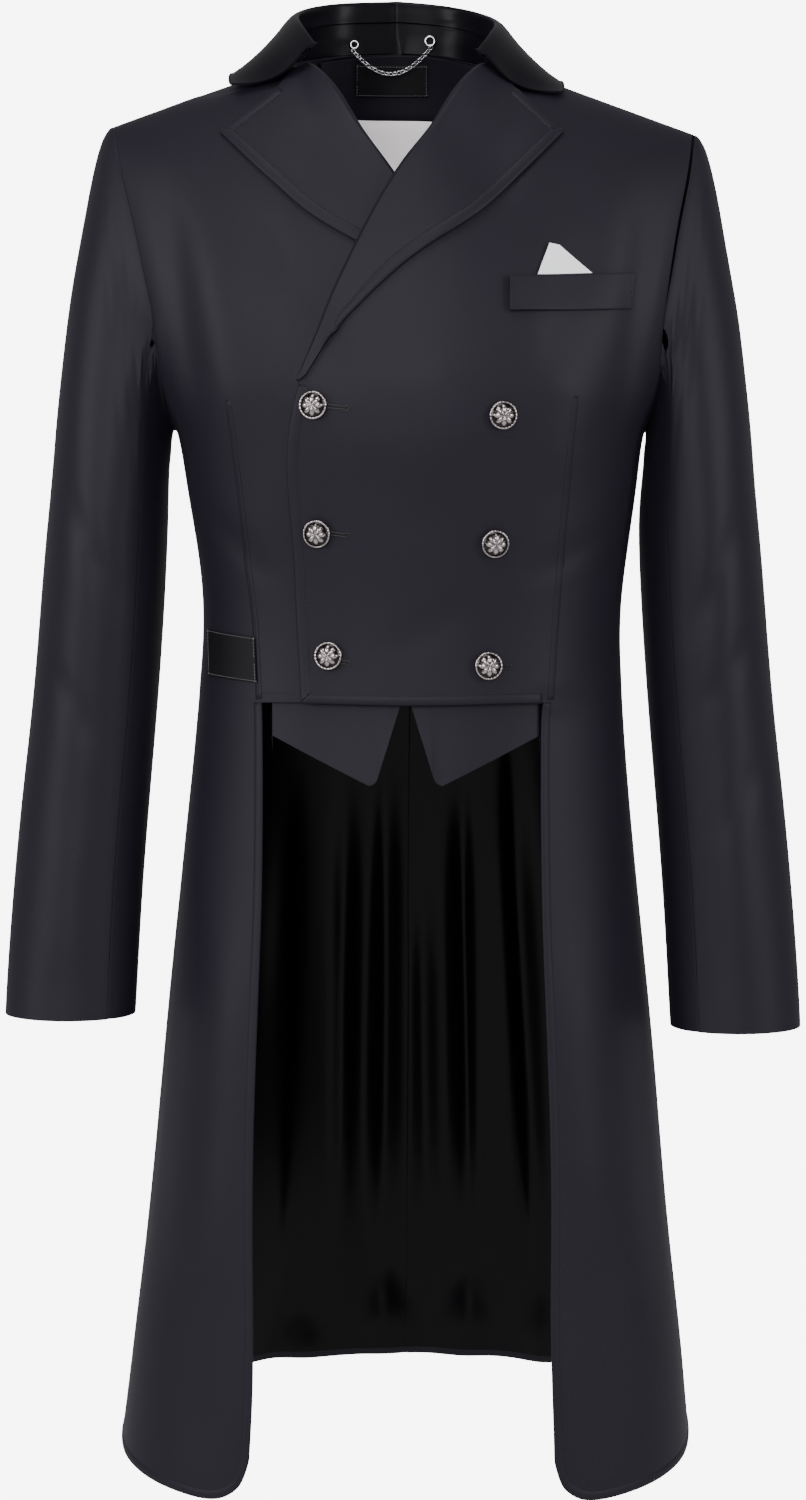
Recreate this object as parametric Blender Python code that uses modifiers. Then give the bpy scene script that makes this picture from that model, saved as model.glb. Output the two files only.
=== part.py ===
"""Double-breasted tailcoat, hollow as it is worn, with nobody in it.

Metres, +Z up. The front faces -Y and the wearer's left is +X. The origin is the middle of the
shoulder line, where the wearer's neck and shoulders carry the coat. Every panel of cloth is an
open surface worked out from the coat's sections, and a Solidify modifier gives it its wall.
"""

import math

import bmesh
import bpy
import numpy as np
from mathutils import Vector

LEFT = 1.0
RIGHT = -1.0
SIDES = (("left", LEFT), ("right", RIGHT))

# Walls, in metres
CLOTH = 0.0018
LINING = 0.0010
LABEL = 0.0006
SEAM_GAP = 0.0003
HALF_GAP = SEAM_GAP / 2
EDGE_ROW = 0.004
LAY_GAP = 0.0013

# Heights of the main lines, in metres from the shoulder line
ARMPIT = -0.280
WAIST = -0.480
NECK_POINT_HEIGHT = 0.006
NECK_BACK_RISE = 0.0135
LEFT_SHOULDER_DROP = 0.006
DROP_REACH = 0.09

# Neck and shoulders
NECK_HALF_WIDTH = 0.081
NECK_BACK_DEPTH = 0.085
NECK_FRONT_DEPTH = 0.055
NECK_LEAN = -0.005
SHOULDER_SLOPE = 0.36
ARCH_CENTRE_TURN = math.radians(58)
ARCH_TURN = math.radians(90)
RISE = 0.29

# The body is a stack of superellipses with this exponent
ROUNDNESS = 2.3

# Body sections: height, centre, half_width, front_depth, back_depth
SECTIONS = (
    (-1.100, 0.0010, 0.2262, 0.166, 0.217),
    (-1.000, 0.0030, 0.2155, 0.160, 0.203),
    (-0.900, 0.0035, 0.2050, 0.152, 0.188),
    (-0.780, 0.0043, 0.1943, 0.143, 0.170),
    (-0.672, 0.0043, 0.1834, 0.134, 0.150),
    (-0.551, 0.0050, 0.1694, 0.124, 0.122),
    (-0.478, 0.0060, 0.1635, 0.118, 0.104),
    (-0.420, 0.0070, 0.1612, 0.117, 0.101),
    (-0.386, 0.0075, 0.1639, 0.120, 0.104),
    (-0.330, 0.0070, 0.1718, 0.127, 0.112),
    (-0.280, 0.0060, 0.1790, 0.132, 0.120),
)

# The body above the armpit: share of the arch, centre, half_width of the whole ring
ARCH_SECTIONS = (
    (0.00, 0.0060, 0.1790),
    (0.10, 0.0052, 0.2000),
    (0.25, 0.0040, 0.2165),
    (0.50, 0.0022, 0.2320),
    (1.00, 0.0005, 0.2450),
)

# Armhole: share of the arch, angle in degrees from the middle of the front or back
ARMHOLE = (
    (0.00, 90.0),
    (0.07, 73.0),
    (0.20, 62.5),
    (0.40, 61.0),
    (0.70, 63.5),
    (1.00, 64.2),
)

# Places round the armhole, in degrees from the shoulder point, shared by panels and sleeves
ARM_TURNS = (0.0, 22.5, 40.0, 57.0, 75.0, 92.0, 109.0, 127.0, 152.0, 180.0)
SLEEVE_SEAM_TURN = 127.0

# Gap between a sleeve and the panels: degrees round the armhole, gap
ARMHOLE_GAPS = (
    (0, 0.0012),
    (45, 0.0026),
    (80, 0.0042),
    (127, 0.0036),
    (180, 0.0036),
)

# Waist seam and hem round the body: degrees from the middle of the front, height
WAIST_LINE = (
    (0, -0.4830),
    (30, -0.4820),
    (42, -0.4830),
    (65, -0.4810),
    (90, -0.4795),
    (180, -0.4790),
)
HEM_LINE = (
    (0, -1.0890),
    (50, -1.0870),
    (70, -1.0800),
    (90, -1.0730),
    (120, -1.0680),
    (180, -1.0660),
)
HEM_CORNER_RADIUS = 0.032

# Inner edge of a front, from the neck point down the roll line and the front edge:
# height, distance past the middle towards its own side
FRONT_EDGE = (
    (0.003, 0.0760),
    (-0.006, 0.0600),
    (-0.051, 0.0290),
    (-0.093, -0.0005),
    (-0.140, -0.0285),
    (-0.185, -0.0530),
    (-0.212, -0.0665),
    (-0.240, -0.0790),
    (-0.290, -0.0900),
    (-0.380, -0.0870),
    (-0.484, -0.0812),
)
BREAK_HEIGHT = -0.240
ROLL_INSET = 0.0028

# Where the middle of the fronts leans: height, offset
FRONT_LEAN = (
    (-0.478, 0.006),
    (-0.330, 0.007),
    (-0.240, 0.004),
    (-0.100, -0.005),
    (0.020, -0.005),
)

# Lapel outer edge from its peak down to the break: height, distance past the middle
LAPEL_EDGE = (
    (-0.0535, 0.1278),
    (-0.0900, 0.0905),
    (-0.1200, 0.0570),
    (-0.1433, 0.0190),
    (-0.1854, -0.0325),
    (-0.2100, -0.0570),
    (-0.2360, -0.0745),
)
NOTCH = (0.0890, -0.0210)
GORGE_BEND = (0.0790, -0.0060)

# How far the over front lies out from the body, past the under front's edge:
# height, layer, reach at full layer, reach of the blend back to none
OVER_LAYERS = (
    (-0.490, CLOTH + LAY_GAP, 0.020, 0.036),
    (-0.410, CLOTH + LAY_GAP + 0.0003, 0.024, 0.042),
    (-0.330, CLOTH + LAY_GAP, 0.022, 0.046),
    (-0.250, 2 * (CLOTH + LAY_GAP), 0.024, 0.050),
    (0.020, 2 * (CLOTH + LAY_GAP), 0.022, 0.045),
)
LAPEL_LAYER = CLOTH + LAY_GAP

# The lapel's lip round the front's edge: how far past the roll line, layer
LAPEL_LIP = (
    (0.0018, 0.0002),
    (0.0014, 0.0013),
)
LAPEL_EXTRA = {LEFT: -0.002, RIGHT: 0.004}
LAPEL_BEND_FADE = 2.0
GORGE_START = 0.02

# Grids: how many spans each panel has
LOWER_ROWS = 6
FRONT_COLUMNS = 11
BACK_COLUMNS = (0.0, 0.03, 0.22, 0.42, 0.57, 0.70, 0.80, 0.88, 0.94, 0.985, 1.0)
LAPEL_ROWS = 9
LAPEL_COLUMNS = 6
COLLAR_ROWS = 9
EDGE_SHARE = 0.025
THIN_EDGE_SHARE = 0.02
PATCH_EDGE_SHARE = 0.03
PATCH_ROWS = 4
SMALL_STEP = 0.001
ANGLE_STEP = 0.004
SECTION_RADIUS = 0.15
SLEEVE_RADIUS = 0.03
SLEEVE_HALF_GAP = 0.0011
SHOULDER_INSET = 0.0022
ROLL_BLEND = 0.08

# Waistcoat point: its lower edge from the middle outwards, as distance and height
POINT_EDGE = (
    (0.0045, -0.4850),
    (0.0130, -0.5150),
    (0.0215, -0.5410),
    (0.0275, -0.5450),
    (0.0345, -0.5415),
    (0.0680, -0.5245),
    (0.1020, -0.5075),
)
POINT_TOP = -0.455
POINT_LEAN = 0.002
POINT_COLUMNS = 8
POINT_ROWS = 3

# Skirt front edge: height, distance from the middle
TAIL_EDGE = (
    (-1.090, 0.1170),
    (-0.990, 0.1145),
    (-0.880, 0.1142),
    (-0.780, 0.1115),
    (-0.686, 0.1080),
    (-0.580, 0.1055),
    (-0.478, 0.1058),
)
TAIL_LEAN = -0.0010
TAIL_FRONT_COLUMNS = (0.0, 0.02, 0.05, 0.10, 0.18, 0.30, 0.45, 0.62, 0.80, 0.975, 1.0)
TAIL_BACK_COLUMNS = 14
LINING_FIRST_COLUMN = 3
LINING_RISE = 0.006
CORNER_TURN = math.radians(60)
SKIRT_ROWS = (0.0, 0.007, 0.15, 0.32, 0.48, 0.62, 0.74, 0.84, 0.92, 0.993, 1.0)

# Soft folds of the skirt: degrees from the middle of the front, width in degrees, depth outwards,
# share of the way down at which the fold begins
SKIRT_FOLDS = (
    (-177.5, 6.5, 0.013, 0.62),
    (167.0, 6.5, 0.013, 0.62),
    (-156.0, 7.0, 0.010, 0.66),
    (147.0, 7.5, 0.009, 0.60),
    (-134.0, 8.0, 0.008, 0.55),
    (125.0, 8.0, 0.007, 0.55),
    (-104.0, 9.0, 0.004, 0.50),
    (100.0, 9.0, 0.004, 0.50),
)

# Sleeves: height, centre across, centre in depth, half width, half depth, of the outer face
SLEEVE_SECTIONS = (
    (-0.360, 0.2310, 0.002, 0.0475, 0.073),
    (-0.400, 0.2340, 0.001, 0.0485, 0.071),
    (-0.443, 0.2365, -0.001, 0.0487, 0.068),
    (-0.543, 0.2462, -0.008, 0.0500, 0.061),
    (-0.614, 0.2525, -0.016, 0.0505, 0.056),
    (-0.700, 0.2580, -0.028, 0.0512, 0.050),
    (-0.745, 0.2600, -0.035, 0.0512, 0.047),
)
SLEEVE_TOP = -0.360
CUFF = -0.730
CUFF_DROP = {LEFT: 0.010, RIGHT: 0.0}
CAP_ROWS = (0.0, 0.035, 0.14, 0.30, 0.50, 0.74)
SLEEVE_ROWS = (SLEEVE_TOP, -0.420, -0.490, -0.560, -0.630, -0.690, CUFF + EDGE_ROW, CUFF)
CAP_PUFF = 0.022
CAP_MIDDLE_FULLNESS = 1.15
CAP_TOP_FULLNESS = 0.35
CAP_STEP = 0.02
ARM_STEP = 0.02
ARM_LEAN = 0.4
CAP_LEAVE = 0.022
CAP_FALL = 0.95
SLEEVE_MIDDLE = (0.2450, 0.0, -0.5)

# Collar lines from the middle of the back (0) to the front end (1): share, distance, depth, height
NECK_SEAM = (
    (0.00, 0.0000, 0.0852, 0.0215),
    (0.30, 0.0480, 0.0690, 0.0190),
    (0.60, 0.0790, 0.0180, 0.0100),
    (0.80, 0.0790, -0.0180, 0.0100),
    (1.00, 0.0690, -0.0500, 0.0055),
)
COLLAR_FOLD = (
    (0.00, 0.0000, 0.0915, 0.0600),
    (0.30, 0.0500, 0.0730, 0.0560),
    (0.60, 0.0770, 0.0190, 0.0430),
    (0.80, 0.0745, -0.0200, 0.0310),
    (1.00, 0.0640, -0.0540, 0.0120),
)
COLLAR_EDGE = (
    (0.00, 0.0000, 0.1060, 0.0120),
    (0.30, 0.0700, 0.0860, 0.0050),
    (0.60, 0.1190, 0.0240, -0.0030),
    (0.80, 0.1270, -0.0080, -0.0055),
    (1.00, 0.1270, -0.0400, -0.0150),
)
STAND_RISE = (0.0, 0.06, 0.32, 0.57, 0.61)
LEAF_INSIDE = (0.62, 0.66, 0.85)
LEAF_DOWN = (0.22, 0.48, 0.74, 0.95, 1.0)
LEAF_SAG_PLACE = 0.8
FOLD_TURN = 0.0045
FOLD_DROP = 0.0015
STAND_SIDE = (NECK_LEAN, 0.0, 0.03)
LEAF_SIDE = (NECK_LEAN, -0.02, -0.02)
COLLAR_SAG = 0.011
COLLAR_SAG_POWER = 5.0

# Inside of the back: the facing reaches down to this row of the back and out to this column
FACING_ROW_TURN = 57.0
FACING_COLUMN = 6
LINING_LAYER = -0.0006

# Bare neck label: across from, across to, height from, height to
LABEL_BOX = (-0.0390, 0.0205, -0.0125, 0.0120)
LABEL_COLUMNS = 6
LABEL_ROWS = 3

# Patches on the fronts, corners as place across and height, from the lower inner one round
WELT_CORNERS = ((0.0775, -0.1895), (0.1725, -0.1860), (0.1755, -0.1590), (0.0775, -0.1635))
SQUARE_CORNERS = ((0.0990, -0.1622), (0.1410, -0.1603), (0.1160, -0.1400), (0.1085, -0.1385))
HIP_CORNERS = ((-0.1094, -0.4680), (-0.1465, -0.4650), (-0.1475, -0.4300), (-0.1108, -0.4336))

# Buttons: height, place across near the over front's edge, place across inside,
# and how far each shank's foot sits in from the smooth outer face, down to the flat facets
BUTTON_ROWS = (
    (-0.2580, -0.0650, 0.0725, 0.0004, 0.0003),
    (-0.3530, -0.0628, 0.0676, 0.0000, 0.0001),
    (-0.4460, -0.0546, 0.0629, -0.0002, -0.0001),
)
BUTTON_INNER_DROP = 0.0075
BUTTON_STEPS = 14
# Radius and height of the button's outline, from the top of the dome to the foot of the shank
BUTTON_PROFILE = (
    (0.0000, 0.0068),
    (0.0040, 0.0065),
    (0.0074, 0.0055),
    (0.0088, 0.0044),
    (0.0097, 0.0045),
    (0.0107, 0.0037),
    (0.0105, 0.0024),
    (0.0060, 0.0019),
    (0.0019, 0.0019),
    (0.0019, 0.0000),
    (0.0000, 0.0000),
)

# Hanger chain ends as place across and height, and its sizes
CHAIN_START = (-0.0385, 0.0205)
CHAIN_END = (0.0213, 0.0235)
CHAIN_SAG = 0.0180
CHAIN_POINTS = 17
CHAIN_RADIUS = 0.0013
CHAIN_CLEARANCE = 0.0070
RING_RADIUS = 0.0036
RING_WIRE = 0.0009
RING_CLEARANCE = 0.0027
CHAIN_END_CLEARANCE = 0.0060


def hermite_table(table, column, at):
    """A smooth curve through one column of a table whose first column rises or falls."""
    rows = sorted(table)
    knots = np.array([row[0] for row in rows])
    values = np.array([row[column] for row in rows])
    slopes = np.gradient(values, knots)
    at = np.clip(np.asarray(at, float), knots[0], knots[-1])
    index = np.clip(np.searchsorted(knots, at, side="right") - 1, 0, len(knots) - 2)
    span = knots[index + 1] - knots[index]
    share = (at - knots[index]) / span
    start = values[index] * (1 + 2 * share) * (1 - share) ** 2
    end = values[index + 1] * share**2 * (3 - 2 * share)
    leave = slopes[index] * span * share * (1 - share) ** 2
    arrive = slopes[index + 1] * span * share**2 * (share - 1)
    return start + end + leave + arrive


def smooth_step(share):
    """0 to 1 with level ends."""
    share = np.clip(share, 0.0, 1.0)
    return share * share * (3 - 2 * share)


def spaced(count, edge_share):
    """Shares from 0 to 1 in even steps, with one extra close to each end for a firm edge."""
    even = np.linspace(0.0, 1.0, count + 1)
    return np.concatenate([[0.0, edge_share], even[1:-1], [1 - edge_share, 1.0]])


def left_drop(across):
    """How much lower the wearer's left shoulder hangs at a distance from the middle."""
    return LEFT_SHOULDER_DROP * smooth_step(np.asarray(across) / DROP_REACH)


def shoulder_height(across):
    """Height of the shoulder seam at a distance from the middle."""
    slope = SHOULDER_SLOPE * (np.abs(across) - NECK_HALF_WIDTH)
    return NECK_POINT_HEIGHT - slope


def arch_top(across, behind):
    """Height, depth and turn of the body's top at a distance from the middle."""
    inside = np.clip(1 - (np.abs(across) / NECK_HALF_WIDTH) ** 2, 0.0, 1.0)
    in_neck = np.abs(across) < NECK_HALF_WIDTH
    height = np.where(
        in_neck,
        NECK_POINT_HEIGHT + np.where(behind, NECK_BACK_RISE, 0.0) * inside,
        shoulder_height(across),
    )
    height = height - left_drop(across)
    reach = np.where(behind, NECK_BACK_DEPTH, -NECK_FRONT_DEPTH)
    depth = reach * np.sqrt(inside)
    turn = ARCH_TURN - (ARCH_TURN - ARCH_CENTRE_TURN) * np.sqrt(inside)
    return height, depth, turn


def body_point(angle, level):
    """A point on the inner face of the outer cloth.

    The angle is 0 at the middle of the front, a right angle at the wearer's left side and half a
    turn at the middle of the back. The level is the height above the armpit, in metres, and
    above it RISE times the share of the arch over the shoulder.
    """
    angle = np.asarray(angle, float)
    level = np.asarray(level, float)
    height = np.minimum(level, 0.0) + ARMPIT
    share = np.clip(level / RISE, 0.0, 1.0)
    across_share = np.sign(np.sin(angle)) * np.abs(np.sin(angle)) ** (2 / ROUNDNESS)
    along_share = np.abs(np.cos(angle)) ** (2 / ROUNDNESS)
    behind = np.cos(angle) < 0

    below = level <= 0
    centre = np.where(below, hermite_table(SECTIONS, 1, height), hermite_table(ARCH_SECTIONS, 1, share))
    width = np.where(below, hermite_table(SECTIONS, 2, height), hermite_table(ARCH_SECTIONS, 2, share))
    front = -hermite_table(SECTIONS, 3, height)
    back = hermite_table(SECTIONS, 4, height)

    across = width * across_share
    depth = np.where(behind, back, front) * along_share
    top_height, top_depth, top_turn = arch_top(across, behind)
    turn = share * top_turn
    closing = (np.cos(turn) - np.cos(top_turn)) / (1 - np.cos(top_turn))
    lift = np.sin(turn) / np.sin(top_turn)
    depth = np.where(below, depth, top_depth + (depth - top_depth) * closing)
    height = np.where(below, height, ARMPIT + (top_height - ARMPIT) * lift)
    return np.stack([centre + across, depth, height], axis=-1)


def outward(angle, level):
    """The unit normal of the body surface, pointing out of the coat."""
    along = body_point(angle + ANGLE_STEP, level) - body_point(angle - ANGLE_STEP, level)
    top = np.minimum(level + SMALL_STEP, RISE)
    rise = body_point(angle, top) - body_point(angle, np.asarray(level) - SMALL_STEP)
    normal = np.cross(along, rise)
    return normal / np.linalg.norm(normal, axis=-1, keepdims=True)


def layered(angle, level, layer):
    """A point of the body moved out by a layer."""
    return body_point(angle, level) + outward(angle, level) * np.asarray(layer)[..., None]


def place_on_body(across, height, behind):
    """The angle and level of the point at a place across and a height, in front or behind."""
    across = np.asarray(across, float)
    height = np.asarray(height, float)
    level = height - ARMPIT
    for _ in range(6):
        share = np.clip(level / RISE, 0.0, 1.0)
        centre = np.where(
            level <= 0, hermite_table(SECTIONS, 1, height), hermite_table(ARCH_SECTIONS, 1, share)
        )
        width = np.where(
            level <= 0, hermite_table(SECTIONS, 2, height), hermite_table(ARCH_SECTIONS, 2, share)
        )
        offset = across - centre
        top_height, _depth, top_turn = arch_top(offset, behind)
        lift = np.clip((height - ARMPIT) / (top_height - ARMPIT), 0.0, 1.0)
        arch = np.arcsin(np.clip(lift * np.sin(top_turn), 0.0, 1.0)) / top_turn
        level = np.where(height <= ARMPIT, height - ARMPIT, RISE * arch)
    sine = np.sign(offset) * np.clip(np.abs(offset) / width, 0.0, 1.0) ** (ROUNDNESS / 2)
    angle = np.arcsin(sine)
    return math.pi - angle if behind else angle, level


def under_edge_place(height):
    """Place across of the under front's inner edge at a height."""
    rows = sorted(FRONT_EDGE)
    distance = np.interp(height, [row[0] for row in rows], [row[1] for row in rows])
    return RIGHT * distance + hermite_table(FRONT_LEAN, 1, height)


def front_layer(side, across, height):
    """How far a front lies out from the body: the left one passes over the right one."""
    if side == RIGHT:
        return np.zeros(np.broadcast(across, height).shape)
    layer, full, blend = (hermite_table(OVER_LAYERS, column, height) for column in (1, 2, 3))
    share = (np.asarray(across) - under_edge_place(height) - full) / blend
    return layer * (1 - smooth_step(share))


def on_front(side, across, height, layer):
    """A point at a distance and a height on a front, moved out from its inner face by a layer."""
    angle, level = place_on_body(across, height, False)
    return layered(angle, level, front_layer(side, across, height) + layer)


def armhole_angle(share):
    """Angle of the armhole from the middle of the front or back at a share of the arch."""
    return np.radians(hermite_table(ARMHOLE, 1, share))


def arm_share(turn_degrees):
    """Share of the arch at a turn round the armhole from the shoulder point."""
    return (1 + math.cos(math.radians(turn_degrees))) / 2


# Materials and objects

COLOURS = {
    # name: base colour, roughness, metallic
    "cloth": ((0.021, 0.021, 0.027, 1), 0.75, 0.0),
    "sateen": ((0.012, 0.010, 0.018, 1), 0.45, 0.0),
    "satin": ((0.004, 0.004, 0.006, 1), 0.30, 0.0),
    "pale_lining": ((0.55, 0.50, 0.53, 1), 0.45, 0.0),
    "white_cotton": ((0.85, 0.86, 0.88, 1), 0.70, 0.0),
    "label": ((0.010, 0.010, 0.012, 1), 0.55, 0.0),
    "gunmetal": ((0.33, 0.32, 0.33, 1), 0.25, 1.0),
    "steel": ((0.62, 0.62, 0.64, 1), 0.20, 1.0),
}


def make_material(name):
    """A Principled material from the table above, made once."""
    if name in bpy.data.materials:
        return bpy.data.materials[name]
    colour, roughness, metallic = COLOURS[name]
    material = bpy.data.materials.new(name)
    material.use_nodes = True
    shader = material.node_tree.nodes["Principled BSDF"]
    shader.inputs["Base Color"].default_value = colour
    shader.inputs["Roughness"].default_value = roughness
    shader.inputs["Metallic"].default_value = metallic
    material.diffuse_color = colour
    return material


def clear_scene():
    """Remove every object of the opening scene."""
    for scene_object in list(bpy.data.objects):
        bpy.data.objects.remove(scene_object, do_unlink=True)


def coat_collection():
    """The collection that holds the coat."""
    name = "tailcoat"
    if name not in bpy.data.collections:
        bpy.context.scene.collection.children.link(bpy.data.collections.new(name))
    return bpy.data.collections[name]


def add_object(name, data, material):
    """Link a mesh or curve into the coat's collection."""
    data.materials.append(make_material(material))
    new_object = bpy.data.objects.new(name, data)
    coat_collection().objects.link(new_object)
    return new_object


def cloth_wall(name, points, material, thickness=CLOTH, towards=1.0, away_from=None):
    """A grid of points as an open surface with a wall.

    The points are an array of rows, columns and 3. The surface faces away from the coat's middle
    or from the point given. The wall grows to that side when towards is 1, and to the other side
    when it is -1.
    """
    rows, columns = points.shape[:2]
    sheet = bmesh.new()
    bmesh.ops.create_grid(sheet, x_segments=columns - 1, y_segments=rows - 1, size=1.0)
    for vertex in sheet.verts:
        column = round((vertex.co.x + 1) / 2 * (columns - 1))
        row = round((vertex.co.y + 1) / 2 * (rows - 1))
        vertex.co = points[row, column]
    sheet.normal_update()
    middle = Vector(points[rows // 2, columns // 2])
    inside = Vector((0.0, 0.0, middle.z) if away_from is None else away_from)
    face = min(sheet.faces, key=lambda near: (near.calc_center_median() - middle).length)
    if face.normal.dot(middle - inside) < 0:
        bmesh.ops.reverse_faces(sheet, faces=sheet.faces)
    mesh = bpy.data.meshes.new(name)
    sheet.to_mesh(mesh)
    sheet.free()
    mesh.shade_smooth()
    wall = add_object(name, mesh, material)
    solidify = wall.modifiers.new("wall", "SOLIDIFY")
    solidify.thickness = thickness
    solidify.offset = towards
    solidify.use_even_offset = True
    solidify.use_rim = True
    return wall


# Cloth panels


def curve_along(table, share):
    """Both columns of a table as a smooth curve, by the share of its length from the first row."""
    rows = np.array(table)
    lengths = np.linalg.norm(np.diff(rows[:, :2], axis=0), axis=1)
    along = np.concatenate([[0.0], np.cumsum(lengths)]) / lengths.sum()
    keyed = [(key, *row) for key, row in zip(along, rows)]
    return hermite_table(keyed, 1, share), hermite_table(keyed, 2, share)


def front_edge_along(side, share):
    """Height and place across of a front's inner edge, by share of its length from the neck."""
    height, distance = curve_along(FRONT_EDGE, share)
    return height, side * distance + hermite_table(FRONT_LEAN, 1, height)


def break_share():
    """Share of the front edge's length from the neck to where the lapel turns."""
    shares = np.linspace(0.0, 1.0, 400)
    height, _across = front_edge_along(LEFT, shares)
    return float(shares[np.argmin(np.abs(height - BREAK_HEIGHT))])


def waist_height(angle):
    """Height of the waist seam at an angle."""
    return hermite_table(WAIST_LINE, 1, np.degrees(np.abs(angle)))


def panel_rows():
    """Rows of a front or back: share of the way from waist to armpit, then share of the arch."""
    lower = spaced(LOWER_ROWS, EDGE_ROW / (ARMPIT - WAIST))[:-2]
    upper = [arm_share(turn) for turn in reversed(ARM_TURNS)]
    upper[-1] = 1 - SHOULDER_INSET
    upper.insert(-1, 1 - SHOULDER_INSET - EDGE_ROW / RISE)
    below = np.concatenate([lower, np.ones(len(upper))])
    above = np.concatenate([np.zeros(len(lower)), upper])
    return below, above


def outer_border(side, behind):
    """Side seam and armhole of a front or back, row by row."""
    below, above = panel_rows()
    seam = math.pi / 2 - HALF_GAP / SECTION_RADIUS
    angle = np.minimum(armhole_angle(above), seam)
    waist = waist_height(seam) + HALF_GAP - ARMPIT
    angle = math.pi - angle if behind else angle
    return side * angle, waist * (1 - below) + RISE * above


def front_inner_border(side):
    """Front edge and roll line, row by row, as angle and level."""
    below, above = panel_rows()
    turning = break_share()
    share = np.where(above > 0, turning * (1 - above), 1 - (1 - turning) * below)
    height, across = front_edge_along(side, share)
    across = across + side * ROLL_INSET * smooth_step((turning - share) / ROLL_BLEND)
    angle, level = place_on_body(across, height, False)
    level[-1] = RISE * above[-1]
    return angle, level


def fill_panel(start, end, columns):
    """Angles and levels between two borders, with the lowest rows following the waist seam."""
    across = np.array(columns)[None, :]
    angle = start[0][:, None] * (1 - across) + end[0][:, None] * across
    level = start[1][:, None] * (1 - across) + end[1][:, None] * across
    below = panel_rows()[0][:, None]
    waist = waist_height(angle) + HALF_GAP - ARMPIT
    return angle, level + (waist - level[:1]) * (1 - below)


def make_front(name, side):
    """One front, from the shoulder to the waist, wrapped past the middle."""
    angle, level = fill_panel(
        front_inner_border(side), outer_border(side, False), spaced(FRONT_COLUMNS, EDGE_SHARE)
    )
    base = body_point(angle, level)
    layer = front_layer(side, base[..., 0], base[..., 2])
    cloth_wall(f"front_{name}", layered(angle, level, layer), "cloth")


def back_grid(side, centre_gap):
    """Angles and levels of one back, from its side seam and armhole to the middle."""
    outer = outer_border(side, True)
    inner = (np.full(outer[0].shape, side * (math.pi - centre_gap)), outer[1])
    return fill_panel(outer, inner, BACK_COLUMNS)


def make_back(name, side):
    """One back, from the shoulder to the waist, to the seam down the middle."""
    angle, level = back_grid(side, HALF_GAP / SECTION_RADIUS)
    cloth_wall(f"back_{name}", body_point(angle, level), "cloth")


def make_waistcoat_point(name, side):
    """The pointed tab that hangs below a front, sewn in behind it."""
    share = spaced(POINT_COLUMNS, EDGE_SHARE)
    distance, lowest = curve_along(POINT_EDGE, share)
    down = spaced(POINT_ROWS, PATCH_EDGE_SHARE)[::-1, None]
    height = POINT_TOP + (lowest - POINT_TOP) * down
    across = side * distance + POINT_LEAN
    points = on_front(RIGHT, across, height, -LAY_GAP)
    cloth_wall(f"waistcoat_point_{name}", points, "cloth", towards=-1.0)


# Skirts


def hem_height(angle, from_edge):
    """Height of the hem at an angle and a distance from the skirt's rounded front corner."""
    height = hermite_table(HEM_LINE, 1, np.degrees(np.abs(angle)))
    inside = np.clip(HEM_CORNER_RADIUS - from_edge, 0.0, HEM_CORNER_RADIUS)
    return height + HEM_CORNER_RADIUS - np.sqrt(HEM_CORNER_RADIUS**2 - inside**2)


def fold_layer(angle, down):
    """How far the skirt's soft folds stand out at an angle and a share of the way down."""
    total = np.zeros(np.broadcast(angle, down).shape)
    for centre, width, depth, start in SKIRT_FOLDS:
        apart = (np.degrees(angle) - centre + 180) % 360 - 180
        growth = smooth_step((down - start) / (1 - start))
        total = total + depth * growth * np.exp(-((apart / width) ** 2))
    return total


def tail_edge_angle(side, height):
    """Angle of a skirt's front edge at a height."""
    across = side * hermite_table(TAIL_EDGE, 1, height) + TAIL_LEAN
    return place_on_body(across, height, False)[0]


def skirt_grid(start_angle, end_angle, columns, rows, rise=0.0):
    """Angles, levels and shares down of a skirt panel, from the hem up to the waist seam.

    The start angle is given for each height. A rise lifts the hem and lowers the top.
    """
    down = np.array(rows)[::-1, None]
    flat_height = WAIST + (hermite_table(HEM_LINE, 1, 50.0) - WAIST) * down
    start = start_angle(np.maximum(flat_height, hermite_table(HEM_LINE, 1, 0.0) + HEM_CORNER_RADIUS))
    angle = start + (end_angle - start) * np.array(columns)[None, :]
    across = body_point(angle, flat_height - ARMPIT)[..., 0]
    from_edge = np.abs(across - across[:, :1])
    if abs(start[0, 0]) > CORNER_TURN:
        from_edge = np.full(across.shape, HEM_CORNER_RADIUS)
    top = waist_height(angle) - HALF_GAP - rise
    bottom = hem_height(angle, from_edge) + rise
    return angle, top + (bottom - top) * down - ARMPIT, down


def make_tail_front(name, side):
    """Front half of a skirt, from its free front edge to the side seam."""
    end = side * (math.pi / 2 - HALF_GAP / SECTION_RADIUS)
    angle, level, down = skirt_grid(
        lambda height: tail_edge_angle(side, height), end, TAIL_FRONT_COLUMNS, SKIRT_ROWS
    )
    points = layered(angle, level, fold_layer(angle, down))
    cloth_wall(f"tail_front_{name}", points, "cloth")


def make_tail_back(name, side):
    """Back half of a skirt, from the side seam to the seam down the middle."""
    start = side * (math.pi / 2 + HALF_GAP / SECTION_RADIUS)
    end = side * (math.pi - HALF_GAP / SECTION_RADIUS)
    angle, level, down = skirt_grid(
        lambda height: np.full(height.shape, start), end, spaced(TAIL_BACK_COLUMNS, THIN_EDGE_SHARE), SKIRT_ROWS
    )
    points = layered(angle, level, fold_layer(angle, down))
    cloth_wall(f"tail_back_{name}", points, "cloth")


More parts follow.
